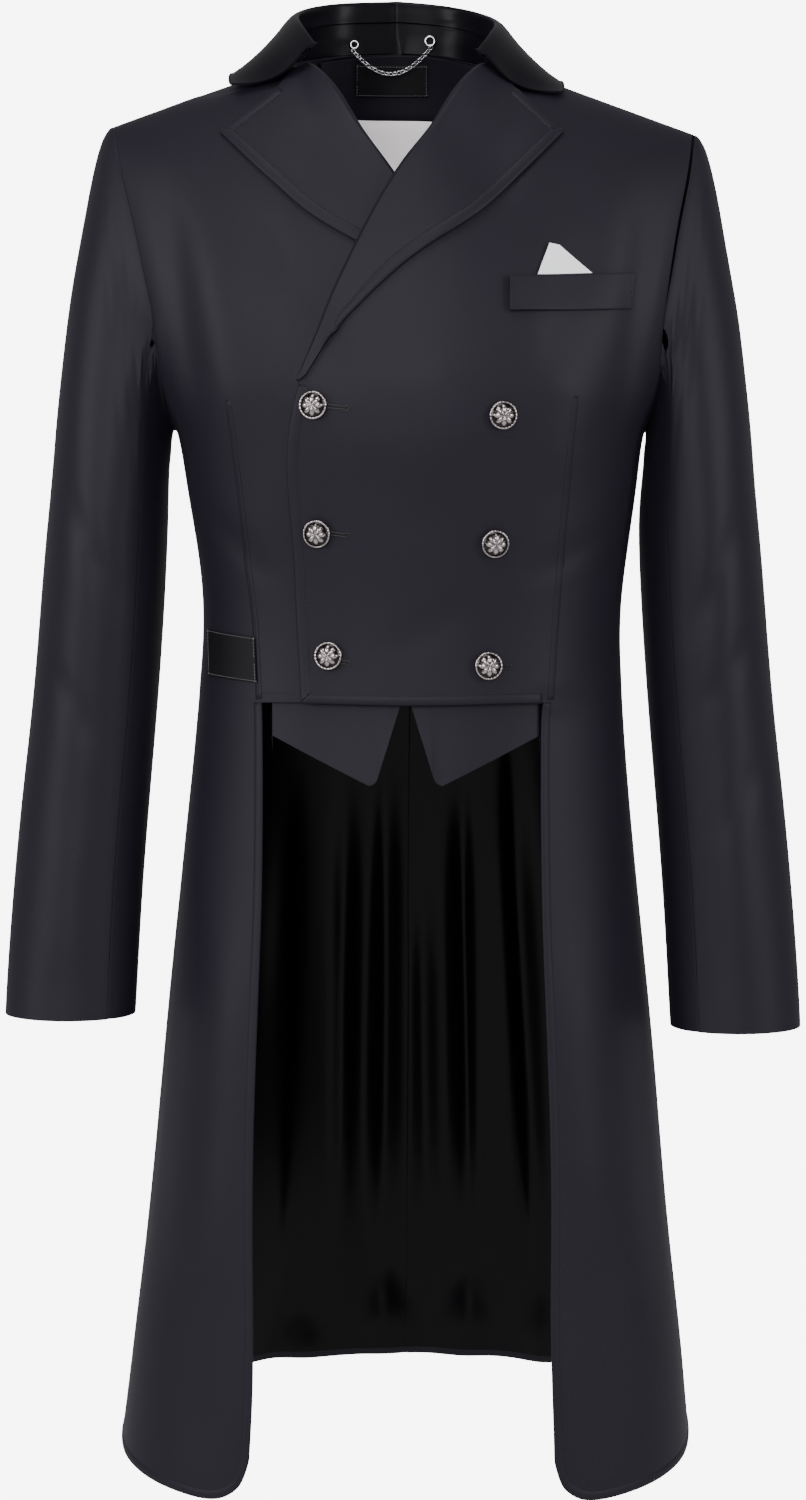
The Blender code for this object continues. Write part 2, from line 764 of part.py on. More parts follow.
def make_tail_lining(name, side):
    """Satin lining of a skirt, made from the points of its two halves, moved in."""
    seam = side * math.pi / 2
    front = skirt_grid(
        lambda height: tail_edge_angle(side, height),
        seam,
        TAIL_FRONT_COLUMNS[:-1],
        SKIRT_ROWS,
        LINING_RISE,
    )
    back = skirt_grid(
        lambda height: np.full(height.shape, seam),
        side * (math.pi - HALF_GAP / SECTION_RADIUS),
        spaced(TAIL_BACK_COLUMNS, THIN_EDGE_SHARE)[1:],
        SKIRT_ROWS,
        LINING_RISE,
    )
    first = LINING_FIRST_COLUMN
    angle = np.concatenate([front[0][:, first:], back[0]], axis=1)
    level = np.concatenate([front[1][:, first:], back[1]], axis=1)
    points = layered(angle, level, fold_layer(angle, front[2]) + LINING_LAYER)
    cloth_wall(f"tail_lining_{name}", points, "satin", LINING, towards=-1.0)


# Sleeves


def armhole_point(side, turn):
    """A point on the armhole at a turn from the shoulder point, over the front and down."""
    share = np.minimum((1 + np.cos(turn)) / 2, 1 - SHOULDER_INSET)
    angle = armhole_angle(share)
    angle = np.where(np.sin(turn) < 0, math.pi - angle, angle)
    return body_point(side * angle, RISE * share)


def armhole_leave(side, turn):
    """The direction in which the cloth leaves the armhole, away from the panels."""
    along = armhole_point(side, turn + ARM_STEP) - armhole_point(side, turn - ARM_STEP)
    share = np.minimum((1 + np.cos(turn)) / 2, 1 - SHOULDER_INSET)
    angle = armhole_angle(share)
    angle = np.where(np.sin(turn) < 0, math.pi - angle, angle)
    away = np.cross(outward(side * angle, RISE * share), along)
    away = away / np.linalg.norm(away, axis=-1, keepdims=True)
    outside = away @ np.array([side, 0.0, ARM_LEAN])
    return away * np.sign(outside)[..., None]


def sleeve_ring(side, turn, height):
    """A point on the lower sleeve, whose sections are level ellipses."""
    centre_x, centre_y, half_width, half_depth = (
        hermite_table(SLEEVE_SECTIONS, column, height) for column in (1, 2, 3, 4)
    )
    hang = CUFF_DROP[side] * (SLEEVE_TOP - height) / (SLEEVE_TOP - CUFF)
    return np.stack(
        [
            side * (centre_x + (half_width - CLOTH) * np.cos(turn)),
            centre_y - (half_depth - CLOTH) * np.sin(turn),
            height - hang + 0 * turn,
        ],
        axis=-1,
    )


def sleeve_cap(side, turn, share):
    """A point on the upper sleeve, between the armhole and the first level section."""
    start = armhole_point(side, turn)
    end = sleeve_ring(side, turn, np.full(turn.shape, SLEEVE_TOP))
    leave = armhole_leave(side, turn)
    round_from_top = np.degrees(np.arccos(np.cos(turn)))
    start = start + leave * hermite_table(ARMHOLE_GAPS, 1, round_from_top)[..., None]
    fall = (start - end)[..., 2:]
    outwards = np.array([side, 0.0, 0.0])
    fullness = CAP_PUFF * (CAP_MIDDLE_FULLNESS + CAP_TOP_FULLNESS * np.cos(turn))[..., None]
    first = leave * CAP_LEAVE + outwards * fullness
    below = sleeve_ring(side, turn, np.full(turn.shape, SLEEVE_TOP - CAP_STEP))
    last = (below - end) / CAP_STEP * fall * CAP_FALL
    share = share[..., None]
    return (
        start * (1 + 2 * share) * (1 - share) ** 2
        + end * share**2 * (3 - 2 * share)
        + first * share * (1 - share) ** 2
        + last * share**2 * (share - 1)
    )


def make_sleeve_part(name, side, first_turn, turns, last_turn):
    """A strip of a sleeve between two of its long seams."""
    inner_turns = [turn for turn in turns if first_turn < turn < last_turn]
    gap = math.degrees(SLEEVE_HALF_GAP / SLEEVE_RADIUS)
    edge = math.degrees(EDGE_ROW / SLEEVE_RADIUS)
    columns = [first_turn + gap, first_turn + edge, *inner_turns, last_turn - edge, last_turn - gap]
    turn = np.radians(columns)[None, :]
    cap = sleeve_cap(side, turn + np.zeros((len(CAP_ROWS), 1)), np.array(CAP_ROWS)[:, None] + 0 * turn)
    height = np.array(SLEEVE_ROWS)[:, None] + 0 * turn
    lower = sleeve_ring(side, turn + 0 * height, height)
    points = np.concatenate([cap, lower])
    middle = (side * SLEEVE_MIDDLE[0], *SLEEVE_MIDDLE[1:])
    cloth_wall(name, points, "cloth", away_from=middle)


def make_sleeve(name, side):
    """Top sleeve and under sleeve of one arm."""
    around = list(ARM_TURNS[1:-1])
    around = [-turn for turn in reversed(around)] + [0.0] + around + [180.0]
    around += [360 - turn for turn in reversed(ARM_TURNS[1:-1])]
    seam = SLEEVE_SEAM_TURN
    make_sleeve_part(f"top_sleeve_{name}", side, -seam, around, seam)
    make_sleeve_part(f"under_sleeve_{name}", side, seam, around, 360 - seam)


# Lapels and collar


def lapel_peak(side):
    """Distance and height of a lapel's peak."""
    height, distance = LAPEL_EDGE[0]
    return distance + LAPEL_EXTRA[side], height


def lapel_top(side, share):
    """The gorge seam and the notch edge, from the roll line to the peak."""
    height, distance = curve_along(FRONT_EDGE, GORGE_START)
    peak_distance, peak_height = lapel_peak(side)
    corners = np.array([(distance, height), GORGE_BEND, NOTCH, (peak_distance, peak_height)])
    lengths = np.linalg.norm(np.diff(corners, axis=0), axis=1)
    along = np.concatenate([[0.0], np.cumsum(lengths)]) / lengths.sum()
    return np.interp(share, along, corners[:, 0]), np.interp(share, along, corners[:, 1])


def make_lapel(name, side):
    """A lapel folded back along the roll line, with a lip round the front's edge."""
    rows = spaced(LAPEL_ROWS, THIN_EDGE_SHARE)[:, None]
    columns = spaced(LAPEL_COLUMNS, EDGE_SHARE)[None, :]
    roll_share = GORGE_START + (break_share() - GORGE_START) * rows
    roll_height, roll_distance = curve_along(FRONT_EDGE, roll_share)
    edge_height, edge_distance = curve_along(LAPEL_EDGE, rows)
    edge_distance = edge_distance + LAPEL_EXTRA[side] * (1 - rows)
    top_distance, top_height = lapel_top(side, columns)
    straight = 1 - columns
    bend = (1 - rows) ** LAPEL_BEND_FADE
    distance = roll_distance * straight + edge_distance * columns
    distance = distance + (top_distance - distance[:1]) * bend
    height = roll_height * straight + edge_height * columns
    height = height + (top_height - height[:1]) * bend

    across_roll = np.concatenate([edge_distance - roll_distance, edge_height - roll_height], axis=1)
    across_roll = across_roll / np.linalg.norm(across_roll, axis=1, keepdims=True)
    distances, heights, layers = [], [], []
    for past, layer in LAPEL_LIP:
        distances.append(roll_distance - across_roll[:, :1] * past)
        heights.append(roll_height - across_roll[:, 1:] * past)
        layers.append(np.full(roll_height.shape, layer))
    distance = np.concatenate([*distances, distance], axis=1)
    height = np.concatenate([*heights, height], axis=1)
    layer = np.concatenate([*layers, np.full(columns.shape[1:], LAPEL_LAYER) + 0 * rows], axis=1)
    across = side * distance + hermite_table(FRONT_LEAN, 1, height)
    cloth_wall(f"lapel_{name}", on_front(side, across, height, layer), "cloth")


def collar_line(table, share):
    """Distance, depth and height along one line of the collar, from the back to the front."""
    return np.stack([hermite_table(table, column, share) for column in (1, 2, 3)], axis=-1)


def collar_side_to_side(half):
    """Sections of the collar from the right end to the left end, worked out from one half."""
    shares = spaced(COLLAR_ROWS, 0.03)
    own = half(shares)
    other = own[:0:-1].copy()
    other[..., 0] *= -1
    both = np.concatenate([other, own])
    both[..., 2] -= left_drop(both[..., 0])
    both[..., 0] += NECK_LEAN
    return both


def stand_half(shares):
    """Half of the stand: from the neck seam up to the satin."""
    seam = collar_line(NECK_SEAM, shares)
    fold = collar_line(COLLAR_FOLD, shares)
    rows = [seam + (fold - seam) * up for up in STAND_RISE]
    return np.stack(rows, axis=1)


def leaf_half(shares):
    """Half of the leaf: satin inside the fold, over it and down to the outer edge."""
    seam = collar_line(NECK_SEAM, shares)
    fold = collar_line(COLLAR_FOLD, shares)
    edge = collar_line(COLLAR_EDGE, shares)
    out = edge - fold
    out[:, 2] = 0
    out = out / np.linalg.norm(out, axis=1, keepdims=True)
    turn = fold + out * FOLD_TURN
    turn[:, 2] -= FOLD_DROP
    sag = (COLLAR_SAG * shares**COLLAR_SAG_POWER)[:, None]
    rows = [seam + (fold - seam) * up for up in LEAF_INSIDE] + [fold, turn]
    for down in LEAF_DOWN:
        point = turn + (edge - turn) * down
        point[:, 2:] -= sag * math.sin(math.pi * down**LEAF_SAG_PLACE)
        rows.append(point)
    return np.stack(rows, axis=1)


def make_collar():
    """The stand behind the neck and the turned-down sateen leaf."""
    stand = collar_side_to_side(stand_half)
    cloth_wall("collar_stand", stand, "sateen", away_from=STAND_SIDE)
    leaf = collar_side_to_side(leaf_half)
    cloth_wall("collar_leaf", leaf, "sateen", away_from=LEAF_SIDE)


# Inside of the back


def both_backs():
    """Angles, levels and arch shares of both backs in one grid, from side seam to side seam."""
    left_angle, left_level = back_grid(LEFT, 0.0)
    right_angle = 2 * math.pi + back_grid(RIGHT, 0.0)[0]
    angle = np.concatenate([left_angle[:, :-1], right_angle[:, ::-1]], axis=1)
    level = np.concatenate([left_level[:, :-1], left_level[:, ::-1]], axis=1)
    return angle, level, panel_rows()[1]


def make_inside():
    """Neck facing, pale back lining and the bare label, seen through the neck."""
    angle, level, arch = both_backs()
    parting = RISE * arm_share(FACING_ROW_TURN)
    facing = arch >= arm_share(FACING_ROW_TURN) - SMALL_STEP
    columns = slice(FACING_COLUMN, angle.shape[1] - FACING_COLUMN)
    facing_level = level[facing][:, columns]
    facing_level = np.maximum(facing_level, parting + HALF_GAP)
    points = layered(angle[facing][:, columns], facing_level, np.full(facing_level.shape, LINING_LAYER))
    cloth_wall("neck_facing", points, "cloth", LINING, towards=-1.0)

    for name, side in SIDES:
        angle, level = back_grid(side, HALF_GAP / SECTION_RADIUS)
        lined = arch <= arm_share(FACING_ROW_TURN) + SMALL_STEP
        lining_level = np.clip(level[lined][:, 1:], None, parting - HALF_GAP)
        lining_level[:2] += LINING_RISE
        layer = np.full(lining_level.shape, LINING_LAYER)
        points = layered(angle[lined][:, 1:], lining_level, layer)
        cloth_wall(f"back_lining_{name}", points, "pale_lining", LINING, towards=-1.0)

    across = np.linspace(LABEL_BOX[0], LABEL_BOX[1], LABEL_COLUMNS)[None, :]
    height = np.linspace(LABEL_BOX[2], LABEL_BOX[3], LABEL_ROWS)[:, None]
    angle, level = place_on_body(across + 0 * height, height + 0 * across, True)
    points = layered(angle, level, LINING_LAYER - LINING - LAY_GAP + 0 * angle)
    cloth_wall("neck_label", points, "label", LABEL, towards=-1.0)


# Trim


def flat_patch(name, side, corners, columns, material, thickness, layer):
    """A four-sided patch laid on a front. Its corners run round from the lower inner one."""
    down = np.linspace(0.0, 1.0, PATCH_ROWS)[:, None, None]
    along = spaced(columns, PATCH_EDGE_SHARE)[None, :, None]
    low_start, low_end, high_end, high_start = (np.array(corner) for corner in corners)
    lower = low_start + (low_end - low_start) * along
    upper = high_start + (high_end - high_start) * along
    spots = lower + (upper - lower) * down
    points = on_front(side, spots[..., 0], spots[..., 1], np.full(spots.shape[:2], layer))
    cloth_wall(name, points, material, thickness)


def make_pocket():
    """Breast pocket welt and the folded white cloth that stands out of it."""
    flat_patch("pocket_welt", LEFT, WELT_CORNERS, 5, "cloth", CLOTH, LAPEL_LAYER)
    square_layer = LAPEL_LAYER + LINING
    flat_patch("pocket_square", LEFT, SQUARE_CORNERS, 3, "white_cotton", LINING, square_layer)
    flat_patch("hip_patch", RIGHT, HIP_CORNERS, 3, "label", LABEL, LAPEL_LAYER)


def turned(name, profile, steps, material):
    """A turned piece from a profile of radius and height, listed from the top down."""
    mesh = bpy.data.meshes.new(name)
    points = [(radius, 0.0, height) for radius, height in profile]
    edges = [(index, index + 1) for index in range(len(points) - 1)]
    mesh.from_pydata(points, edges, [])
    piece = add_object(name, mesh, material)
    screw = piece.modifiers.new("turn", "SCREW")
    screw.steps = steps
    screw.render_steps = steps
    screw.use_merge_vertices = True
    screw.merge_threshold = 0.00001
    return piece


def make_buttons():
    """Six domed shank buttons on the over front."""
    for row, (height, past_edge, inside, edge_sink, inside_sink) in enumerate(BUTTON_ROWS, start=1):
        for column, across, sink in (("edge", past_edge, edge_sink), ("inner", inside, inside_sink)):
            button = turned(f"button_{column}_{row}", BUTTON_PROFILE, BUTTON_STEPS, "gunmetal")
            drop = BUTTON_INNER_DROP if column == "inner" else 0.0
            across, height_here = np.array(across), np.array(height - drop)
            angle, level = place_on_body(across, height_here, False)
            normal = outward(angle, level)
            place = on_front(LEFT, across, height_here, np.array(CLOTH - sink))
            button.location = place
            button.rotation_mode = "QUATERNION"
            button.rotation_quaternion = Vector(normal).to_track_quat("Z", "Y")


def poly_tube(name, points, radius, material, bevel_resolution=2):
    """A round cord through a list of points."""
    curve = bpy.data.curves.new(name, "CURVE")
    curve.dimensions = "3D"
    curve.bevel_depth = radius
    curve.bevel_resolution = bevel_resolution
    curve.use_fill_caps = True
    spline = curve.splines.new("POLY")
    spline.points.add(len(points) - 1)
    for spot, point in zip(spline.points, points):
        spot.co = (*point, 1.0)
    return add_object(name, curve, material)


def make_chain():
    """Hanger chain between a staple and a ring, held at both ends inside the neck."""
    share = np.linspace(0.0, 1.0, CHAIN_POINTS)
    across = CHAIN_START[0] + (CHAIN_END[0] - CHAIN_START[0]) * share
    straight = CHAIN_START[1] + (CHAIN_END[1] - CHAIN_START[1]) * share
    bow = 4 * share * (1 - share)
    height = straight - CHAIN_SAG * bow
    inside = np.sqrt(1 - ((across - NECK_LEAN) / NECK_HALF_WIDTH) ** 2)
    clearance = CHAIN_END_CLEARANCE + (CHAIN_CLEARANCE - CHAIN_END_CLEARANCE) * bow
    depth = NECK_BACK_DEPTH * inside - clearance
    poly_tube("hanger_chain", np.stack([across, depth, height], axis=-1), CHAIN_RADIUS, "steel")
    for name, (across_end, height_end) in (("chain_staple", CHAIN_START), ("chain_ring", CHAIN_END)):
        inside = math.sqrt(1 - ((across_end - NECK_LEAN) / NECK_HALF_WIDTH) ** 2)
        bpy.ops.mesh.primitive_torus_add(
            major_radius=RING_RADIUS, minor_radius=RING_WIRE, major_segments=16, minor_segments=6
        )
        ring = bpy.context.object
        ring.name = name
        ring.data.name = name
        ring.data.materials.append(make_material("steel"))
        ring.location = (
            across_end,
            NECK_BACK_DEPTH * inside - RING_CLEARANCE,
            height_end + RING_RADIUS + RING_WIRE + CHAIN_RADIUS + SEAM_GAP,
        )
        ring.rotation_euler = (math.pi / 2, 0.0, 0.0)
        for collection in list(ring.users_collection):
            collection.objects.unlink(ring)
        coat_collection().objects.link(ring)


def main():
    """Build the tailcoat."""
    clear_scene()
    for name, side in SIDES:
        make_front(name, side)
        make_back(name, side)
        make_waistcoat_point(name, side)
        make_tail_front(name, side)
        make_tail_back(name, side)
        make_tail_lining(name, side)
        make_sleeve(name, side)
        make_lapel(name, side)
    make_collar()
    make_inside()
    make_pocket()
    make_buttons()
    make_chain()


main()
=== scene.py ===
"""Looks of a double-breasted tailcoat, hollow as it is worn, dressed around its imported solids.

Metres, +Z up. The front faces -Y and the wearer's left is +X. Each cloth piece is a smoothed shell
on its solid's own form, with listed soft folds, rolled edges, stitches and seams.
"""

import logging
import math
from dataclasses import dataclass, field
from enum import Enum

import bmesh
import bpy
import numpy as np
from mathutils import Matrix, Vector
from mathutils.bvhtree import BVHTree
from mathutils.kdtree import KDTree


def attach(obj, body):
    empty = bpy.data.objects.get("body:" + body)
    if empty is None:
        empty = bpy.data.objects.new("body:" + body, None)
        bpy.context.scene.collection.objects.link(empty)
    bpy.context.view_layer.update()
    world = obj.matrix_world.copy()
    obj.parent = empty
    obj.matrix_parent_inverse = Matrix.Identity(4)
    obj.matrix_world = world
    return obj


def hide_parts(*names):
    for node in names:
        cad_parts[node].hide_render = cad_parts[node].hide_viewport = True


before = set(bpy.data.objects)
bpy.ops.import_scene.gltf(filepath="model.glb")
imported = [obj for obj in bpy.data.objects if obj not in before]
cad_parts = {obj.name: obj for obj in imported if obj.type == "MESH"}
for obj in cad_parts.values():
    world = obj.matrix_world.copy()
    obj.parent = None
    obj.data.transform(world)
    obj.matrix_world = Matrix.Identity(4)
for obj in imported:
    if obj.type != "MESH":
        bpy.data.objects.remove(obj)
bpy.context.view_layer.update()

logging.basicConfig(level=logging.INFO, format="%(message)s")
LOG = logging.getLogger("tailcoat")

# Height of the waist seam, and how far the neck stands aside of the middle
WAIST = -0.480
COAT_LEAN = -0.005

# Fitting of a smoothed shell to its solid: turns, and how far a point may be moved
FITTING_TURNS = 3
FITTING_REACH = 0.0015

# Smoothing apart of faces that overlap in a solid: turns, and the angle that tells them
UNFOLDING_TURNS = 12
FOLDED_OVER = math.radians(130)

# Reading of a solid: distance at which points are one, angles within which triangles make a square,
# and thickness, turn and corner angle of a thin rim
MERGE = 0.00001
GRID_FLATNESS = math.radians(35)
GRID_SHAPE = math.radians(60)
RIM = 0.0021
RIM_TURN = math.radians(36)
CORNER_TURN = math.radians(38)
OUTER = 1

# Rounding of the rims: which edges, how wide, and up to which angle the shading is smooth
SHARP = math.radians(45)
RIM_ROUND = 0.0005
RIM_SHADE = math.radians(50)

# Drawing the pieces together: how far they reach, how deep that is blended, and each one's share
SEAM_REACH = 0.0075
SEAM_BLEND = 0.016
SEAM_SHARE = 0.47
SEAM_SMOOTHING = 4

# Turned-in cloth under a seam: widest gap, depth, width, slope and thickness, and steps of its run
SEAM_OPEN = 0.0030
SEAM_SINK = 0.0005
SEAM_TUCK = 0.0025
SEAM_SLOPE = 0.0001
SEAM_THICK = 0.0004
SEAM_STEP = 0.003
SEAM_FEWEST = 4

# Insets of stitches, radius of the piping, and where a low edge begins below the waist
STITCH_INSET = 0.0088
LABEL_INSET = 0.0011
PIPING_RADIUS = 0.0008
LOW_EDGE_START = 0.006

# Depths of the chest and of a place before the whole coat
CHEST = -0.12
IN_FRONT = -0.5

# Radius at which the thread map is wound round the body and round a sleeve
BODY_REACH = 0.16
SLEEVE_REACH = 0.05

# Lengths that stand in for nought where something is divided
TINY = 1e-9
TINIEST = 1e-12


class Region(Enum):
    """The part of the coat that a piece hangs on, which says which way is outwards."""

    BODY = "body"
    LEFT_SLEEVE = "left sleeve"
    RIGHT_SLEEVE = "right sleeve"
    COLLAR = "collar"


class Face(Enum):
    """The side of a body or sleeve on which a fold lies."""

    FRONT = -1.0
    BACK = 1.0


# Width of the body against its depth
BODY_FLATNESS = 1.8

# Middle line of the left sleeve: height, place across, depth
SLEEVE_LINE = (
    (-0.745, 0.2600, -0.035),
    (-0.700, 0.2580, -0.028),
    (-0.614, 0.2525, -0.016),
    (-0.543, 0.2462, -0.008),
    (-0.443, 0.2365, -0.001),
    (-0.360, 0.2310, 0.002),
    (-0.200, 0.2200, 0.002),
    (-0.040, 0.2000, 0.002),
)


def smooth_step(share: np.ndarray) -> np.ndarray:
    """Rise from 0 to 1 with level ends.

    Args:
        share: Values, cut off at 0 and 1.

    Returns:
        The smoothed values.
    """
    share = np.clip(share, 0.0, 1.0)
    return share * share * (3 - 2 * share)


def middle_line(region: Region, heights: np.ndarray) -> np.ndarray:
    """Middle of a region at some heights.

    Args:
        region: The body, the collar or a sleeve.
        heights: Heights in metres.

    Returns:
        Place across and depth for each height.
    """
    if region in (Region.BODY, Region.COLLAR):
        return np.zeros((len(heights), 2))
    rows = np.array(SLEEVE_LINE)
    side = 1.0 if region is Region.LEFT_SLEEVE else -1.0
    across = side * np.interp(heights, rows[:, 0], rows[:, 1])
    return np.stack([across, np.interp(heights, rows[:, 0], rows[:, 2])], axis=1)


def outward(region: Region, points: np.ndarray) -> np.ndarray:
    """Level directions out of a region's middle.

    Args:
        region: The body, the collar or a sleeve.
        points: Points in metres.

    Returns:
        A unit vector for each point.
    """
    away = points[:, :2] - middle_line(region, points[:, 2])
    if region is Region.BODY:
        away = away * np.array([1.0, BODY_FLATNESS])
    length = np.maximum(np.linalg.norm(away, axis=1, keepdims=True), 1e-6)
    return np.concatenate([away / length, np.zeros((len(points), 1))], axis=1)


# Folds

# Share of a fold's length at each end in which it fades, and depth over which it turns the corner
FOLD_END = 0.35
FOLD_TURN = 0.05


@dataclass(frozen=True)
class Fold:
    """One soft crease: a ridge where its depth is above nought, and a trough where it is below."""

    region: Region
    face: Face
    start: tuple[float, float]
    end: tuple[float, float]
    width: float
    depth: float
    skew: float = 0.0
    flare: float = 0.0

    def lift(self, points: np.ndarray) -> np.ndarray:
        """How far the fold moves some points outwards.

        Args:
            points: Points in metres.

        Returns:
            A distance for each point.
        """
        start, end = np.array(self.start), np.array(self.end)
        run = end - start
        length = np.linalg.norm(run)
        flat = points[:, [0, 2]] - start
        along = flat @ run / length**2
        aside = (flat[:, 0] * run[1] - flat[:, 1] * run[0]) / length
        narrow = np.where(aside * self.skew > 0, 1 - abs(self.skew), 1.0)
        narrow = narrow * (1 + self.flare * (2 * np.clip(along, 0.0, 1.0) - 1))
        profile = np.exp(-((aside / (self.width * narrow)) ** 2))
        taper = smooth_step(along / FOLD_END) * smooth_step((1 - along) / FOLD_END)
        depth = points[:, 1] - middle_line(self.region, points[:, 2])[:, 1]
        facing = smooth_step(0.5 + self.face.value * depth / FOLD_TURN)
        return self.depth * profile * taper * facing


def folds_on(region: Region, face: Face, *rows: tuple) -> tuple[Fold, ...]:
    """Folds of one side of a region, each from its start, end, width, depth, skew and flare."""
    return tuple(Fold(region, face, *row) for row in rows)


FOLDS = (
    # Chest and shoulders
    *folds_on(
        Region.BODY, Face.FRONT,
        ((-0.190, -0.060), (-0.150, -0.300), 0.016, -0.0035, 0.3),
        ((-0.150, -0.090), (-0.120, -0.330), 0.022, 0.0030),
        ((-0.130, -0.080), (-0.040, -0.260), 0.026, -0.0040, -0.3),
        ((0.195, -0.060), (0.160, -0.310), 0.015, -0.0030, -0.3),
        ((0.120, -0.060), (0.150, -0.190), 0.020, -0.0020),
        ((0.145, -0.215), (0.110, -0.330), 0.024, 0.0022),
        ((0.010, -0.200), (0.050, -0.320), 0.030, 0.0018),
    ),
    # Waist
    *folds_on(
        Region.BODY, Face.FRONT,
        ((-0.160, -0.330), (-0.090, -0.400), 0.013, -0.0014, 0.4),
        ((0.165, -0.350), (0.085, -0.395), 0.012, -0.0013, -0.4),
        ((-0.040, -0.290), (0.030, -0.370), 0.016, -0.0009),
        ((0.060, -0.400), (-0.020, -0.450), 0.015, -0.0008),
    ),
    # Back of the body
    *folds_on(
        Region.BODY, Face.BACK,
        ((-0.185, -0.080), (-0.140, -0.330), 0.018, -0.0040, 0.3),
        ((0.188, -0.075), (0.135, -0.320), 0.017, -0.0036, -0.3),
        ((-0.120, -0.130), (-0.060, -0.300), 0.026, 0.0028),
        ((0.110, -0.120), (0.070, -0.280), 0.024, 0.0026),
        ((-0.150, -0.360), (-0.050, -0.430), 0.013, -0.0018, 0.3),
        ((0.150, -0.375), (0.040, -0.415), 0.012, -0.0016, -0.3),
        ((-0.100, -0.425), (0.020, -0.455), 0.010, -0.0012),
    ),
    # Skirt, front panels
    *folds_on(
        Region.BODY, Face.FRONT,
        ((-0.165, -0.560), (-0.205, -1.000), 0.018, -0.0045, 0.3),
        ((-0.128, -0.620), (-0.150, -0.960), 0.020, 0.0036),
        ((-0.150, -0.900), (-0.170, -1.080), 0.024, -0.0030),
        ((0.168, -0.550), (0.210, -1.020), 0.018, -0.0046, -0.3),
        ((0.130, -0.640), (0.152, -0.930), 0.022, 0.0034),
        ((0.140, -0.880), (0.165, -1.080), 0.022, -0.0028),
    ),
    # Skirt, back panels
    *folds_on(
        Region.BODY, Face.BACK,
        ((-0.030, -0.600), (-0.045, -1.060), 0.018, 0.0040),
        ((0.055, -0.560), (0.075, -1.060), 0.020, -0.0045, 0.3),
        ((-0.100, -0.540), (-0.140, -1.060), 0.022, -0.0042, -0.3),
        ((0.130, -0.600), (0.170, -1.060), 0.018, 0.0034),
    ),
    # Flutes of the back hem, towards the legs
    *folds_on(
        Region.BODY, Face.BACK,
        ((-0.014, -0.980), (-0.014, -1.160), 0.027, -0.0150, 0.0, 0.45),
        ((0.058, -0.980), (0.059, -1.160), 0.025, -0.0150, 0.0, 0.45),
        ((-0.088, -1.020), (-0.089, -1.140), 0.022, -0.0090, 0.0, 0.3),
        ((0.122, -0.990), (0.124, -1.160), 0.020, -0.0100, 0.0, 0.4),
    ),
    # Left sleeve
    *folds_on(
        Region.LEFT_SLEEVE, Face.FRONT,
        ((0.262, -0.330), (0.215, -0.450), 0.013, -0.0022, 0.4),
        ((0.278, -0.420), (0.222, -0.500), 0.011, -0.0018, 0.4),
        ((0.250, -0.120), (0.262, -0.340), 0.016, 0.0022),
        ((0.245, -0.520), (0.262, -0.700), 0.018, 0.0016),
        ((0.285, -0.520), (0.235, -0.600), 0.012, -0.0014, -0.3),
    ),
    *folds_on(
        Region.LEFT_SLEEVE, Face.BACK,
        ((0.275, -0.380), (0.220, -0.470), 0.012, -0.0024, 0.3),
        ((0.270, -0.470), (0.225, -0.520), 0.010, -0.0020),
        ((0.255, -0.150), (0.262, -0.330), 0.018, 0.0024),
    ),
    # Right sleeve
    *folds_on(
        Region.RIGHT_SLEEVE, Face.FRONT,
        ((-0.265, -0.310), (-0.212, -0.420), 0.012, -0.0022, -0.4),
        ((-0.278, -0.445), (-0.225, -0.530), 0.012, -0.0018, -0.4),
        ((-0.246, -0.100), (-0.258, -0.330), 0.017, 0.0024),
        ((-0.250, -0.560), (-0.262, -0.710), 0.017, 0.0015),
    ),
    *folds_on(
        Region.RIGHT_SLEEVE, Face.BACK,
        ((-0.272, -0.370), (-0.222, -0.455), 0.012, -0.0023, -0.3),
        ((-0.275, -0.480), (-0.228, -0.540), 0.011, -0.0018),
        ((-0.255, -0.140), (-0.260, -0.340), 0.018, 0.0022),
    ),
)

# Folds of the satin alone, which stand in from the skirt
LINING_FOLDS = (
    *folds_on(
        Region.BODY, Face.BACK,
        ((-0.014, -0.500), (-0.018, -1.060), 0.011, -0.0055, 0.3),
        ((0.048, -0.520), (0.058, -1.050), 0.010, -0.0060, -0.4),
        ((0.086, -0.490), (0.118, -1.040), 0.013, -0.0085, 0.4),
        ((-0.047, -0.520), (-0.052, -1.040), 0.010, -0.0045, 0.2),
        ((-0.092, -0.540), (-0.112, -1.050), 0.013, -0.0050, -0.3),
        ((0.016, -0.620), (0.020, -1.000), 0.010, -0.0030, 0.2),
    ),
)


def settled(region: Region, points: np.ndarray, extra: tuple[Fold, ...] = ()) -> np.ndarray:
    """Points after the folds of their region have moved them.

    Args:
        region: The body, the collar or a sleeve.
        points: Points in metres.
        extra: Folds that this piece has besides the shared ones.

    Returns:
        The moved points.
    """
    lift = np.zeros(len(points))
    for fold in (*FOLDS, *extra):
        if fold.region is region:
            lift += fold.lift(points)
    return points + outward(region, points) * lift[:, None]


# Low edge of a waistcoat point: distance from the middle, height
POINT_LEAN = 0.002
POINT_LINE = (
    (0.0040, -0.4830),
    (0.0222, -0.5414),
    (0.0275, -0.5440),
    (0.1020, -0.5070),
)


# Work on meshes


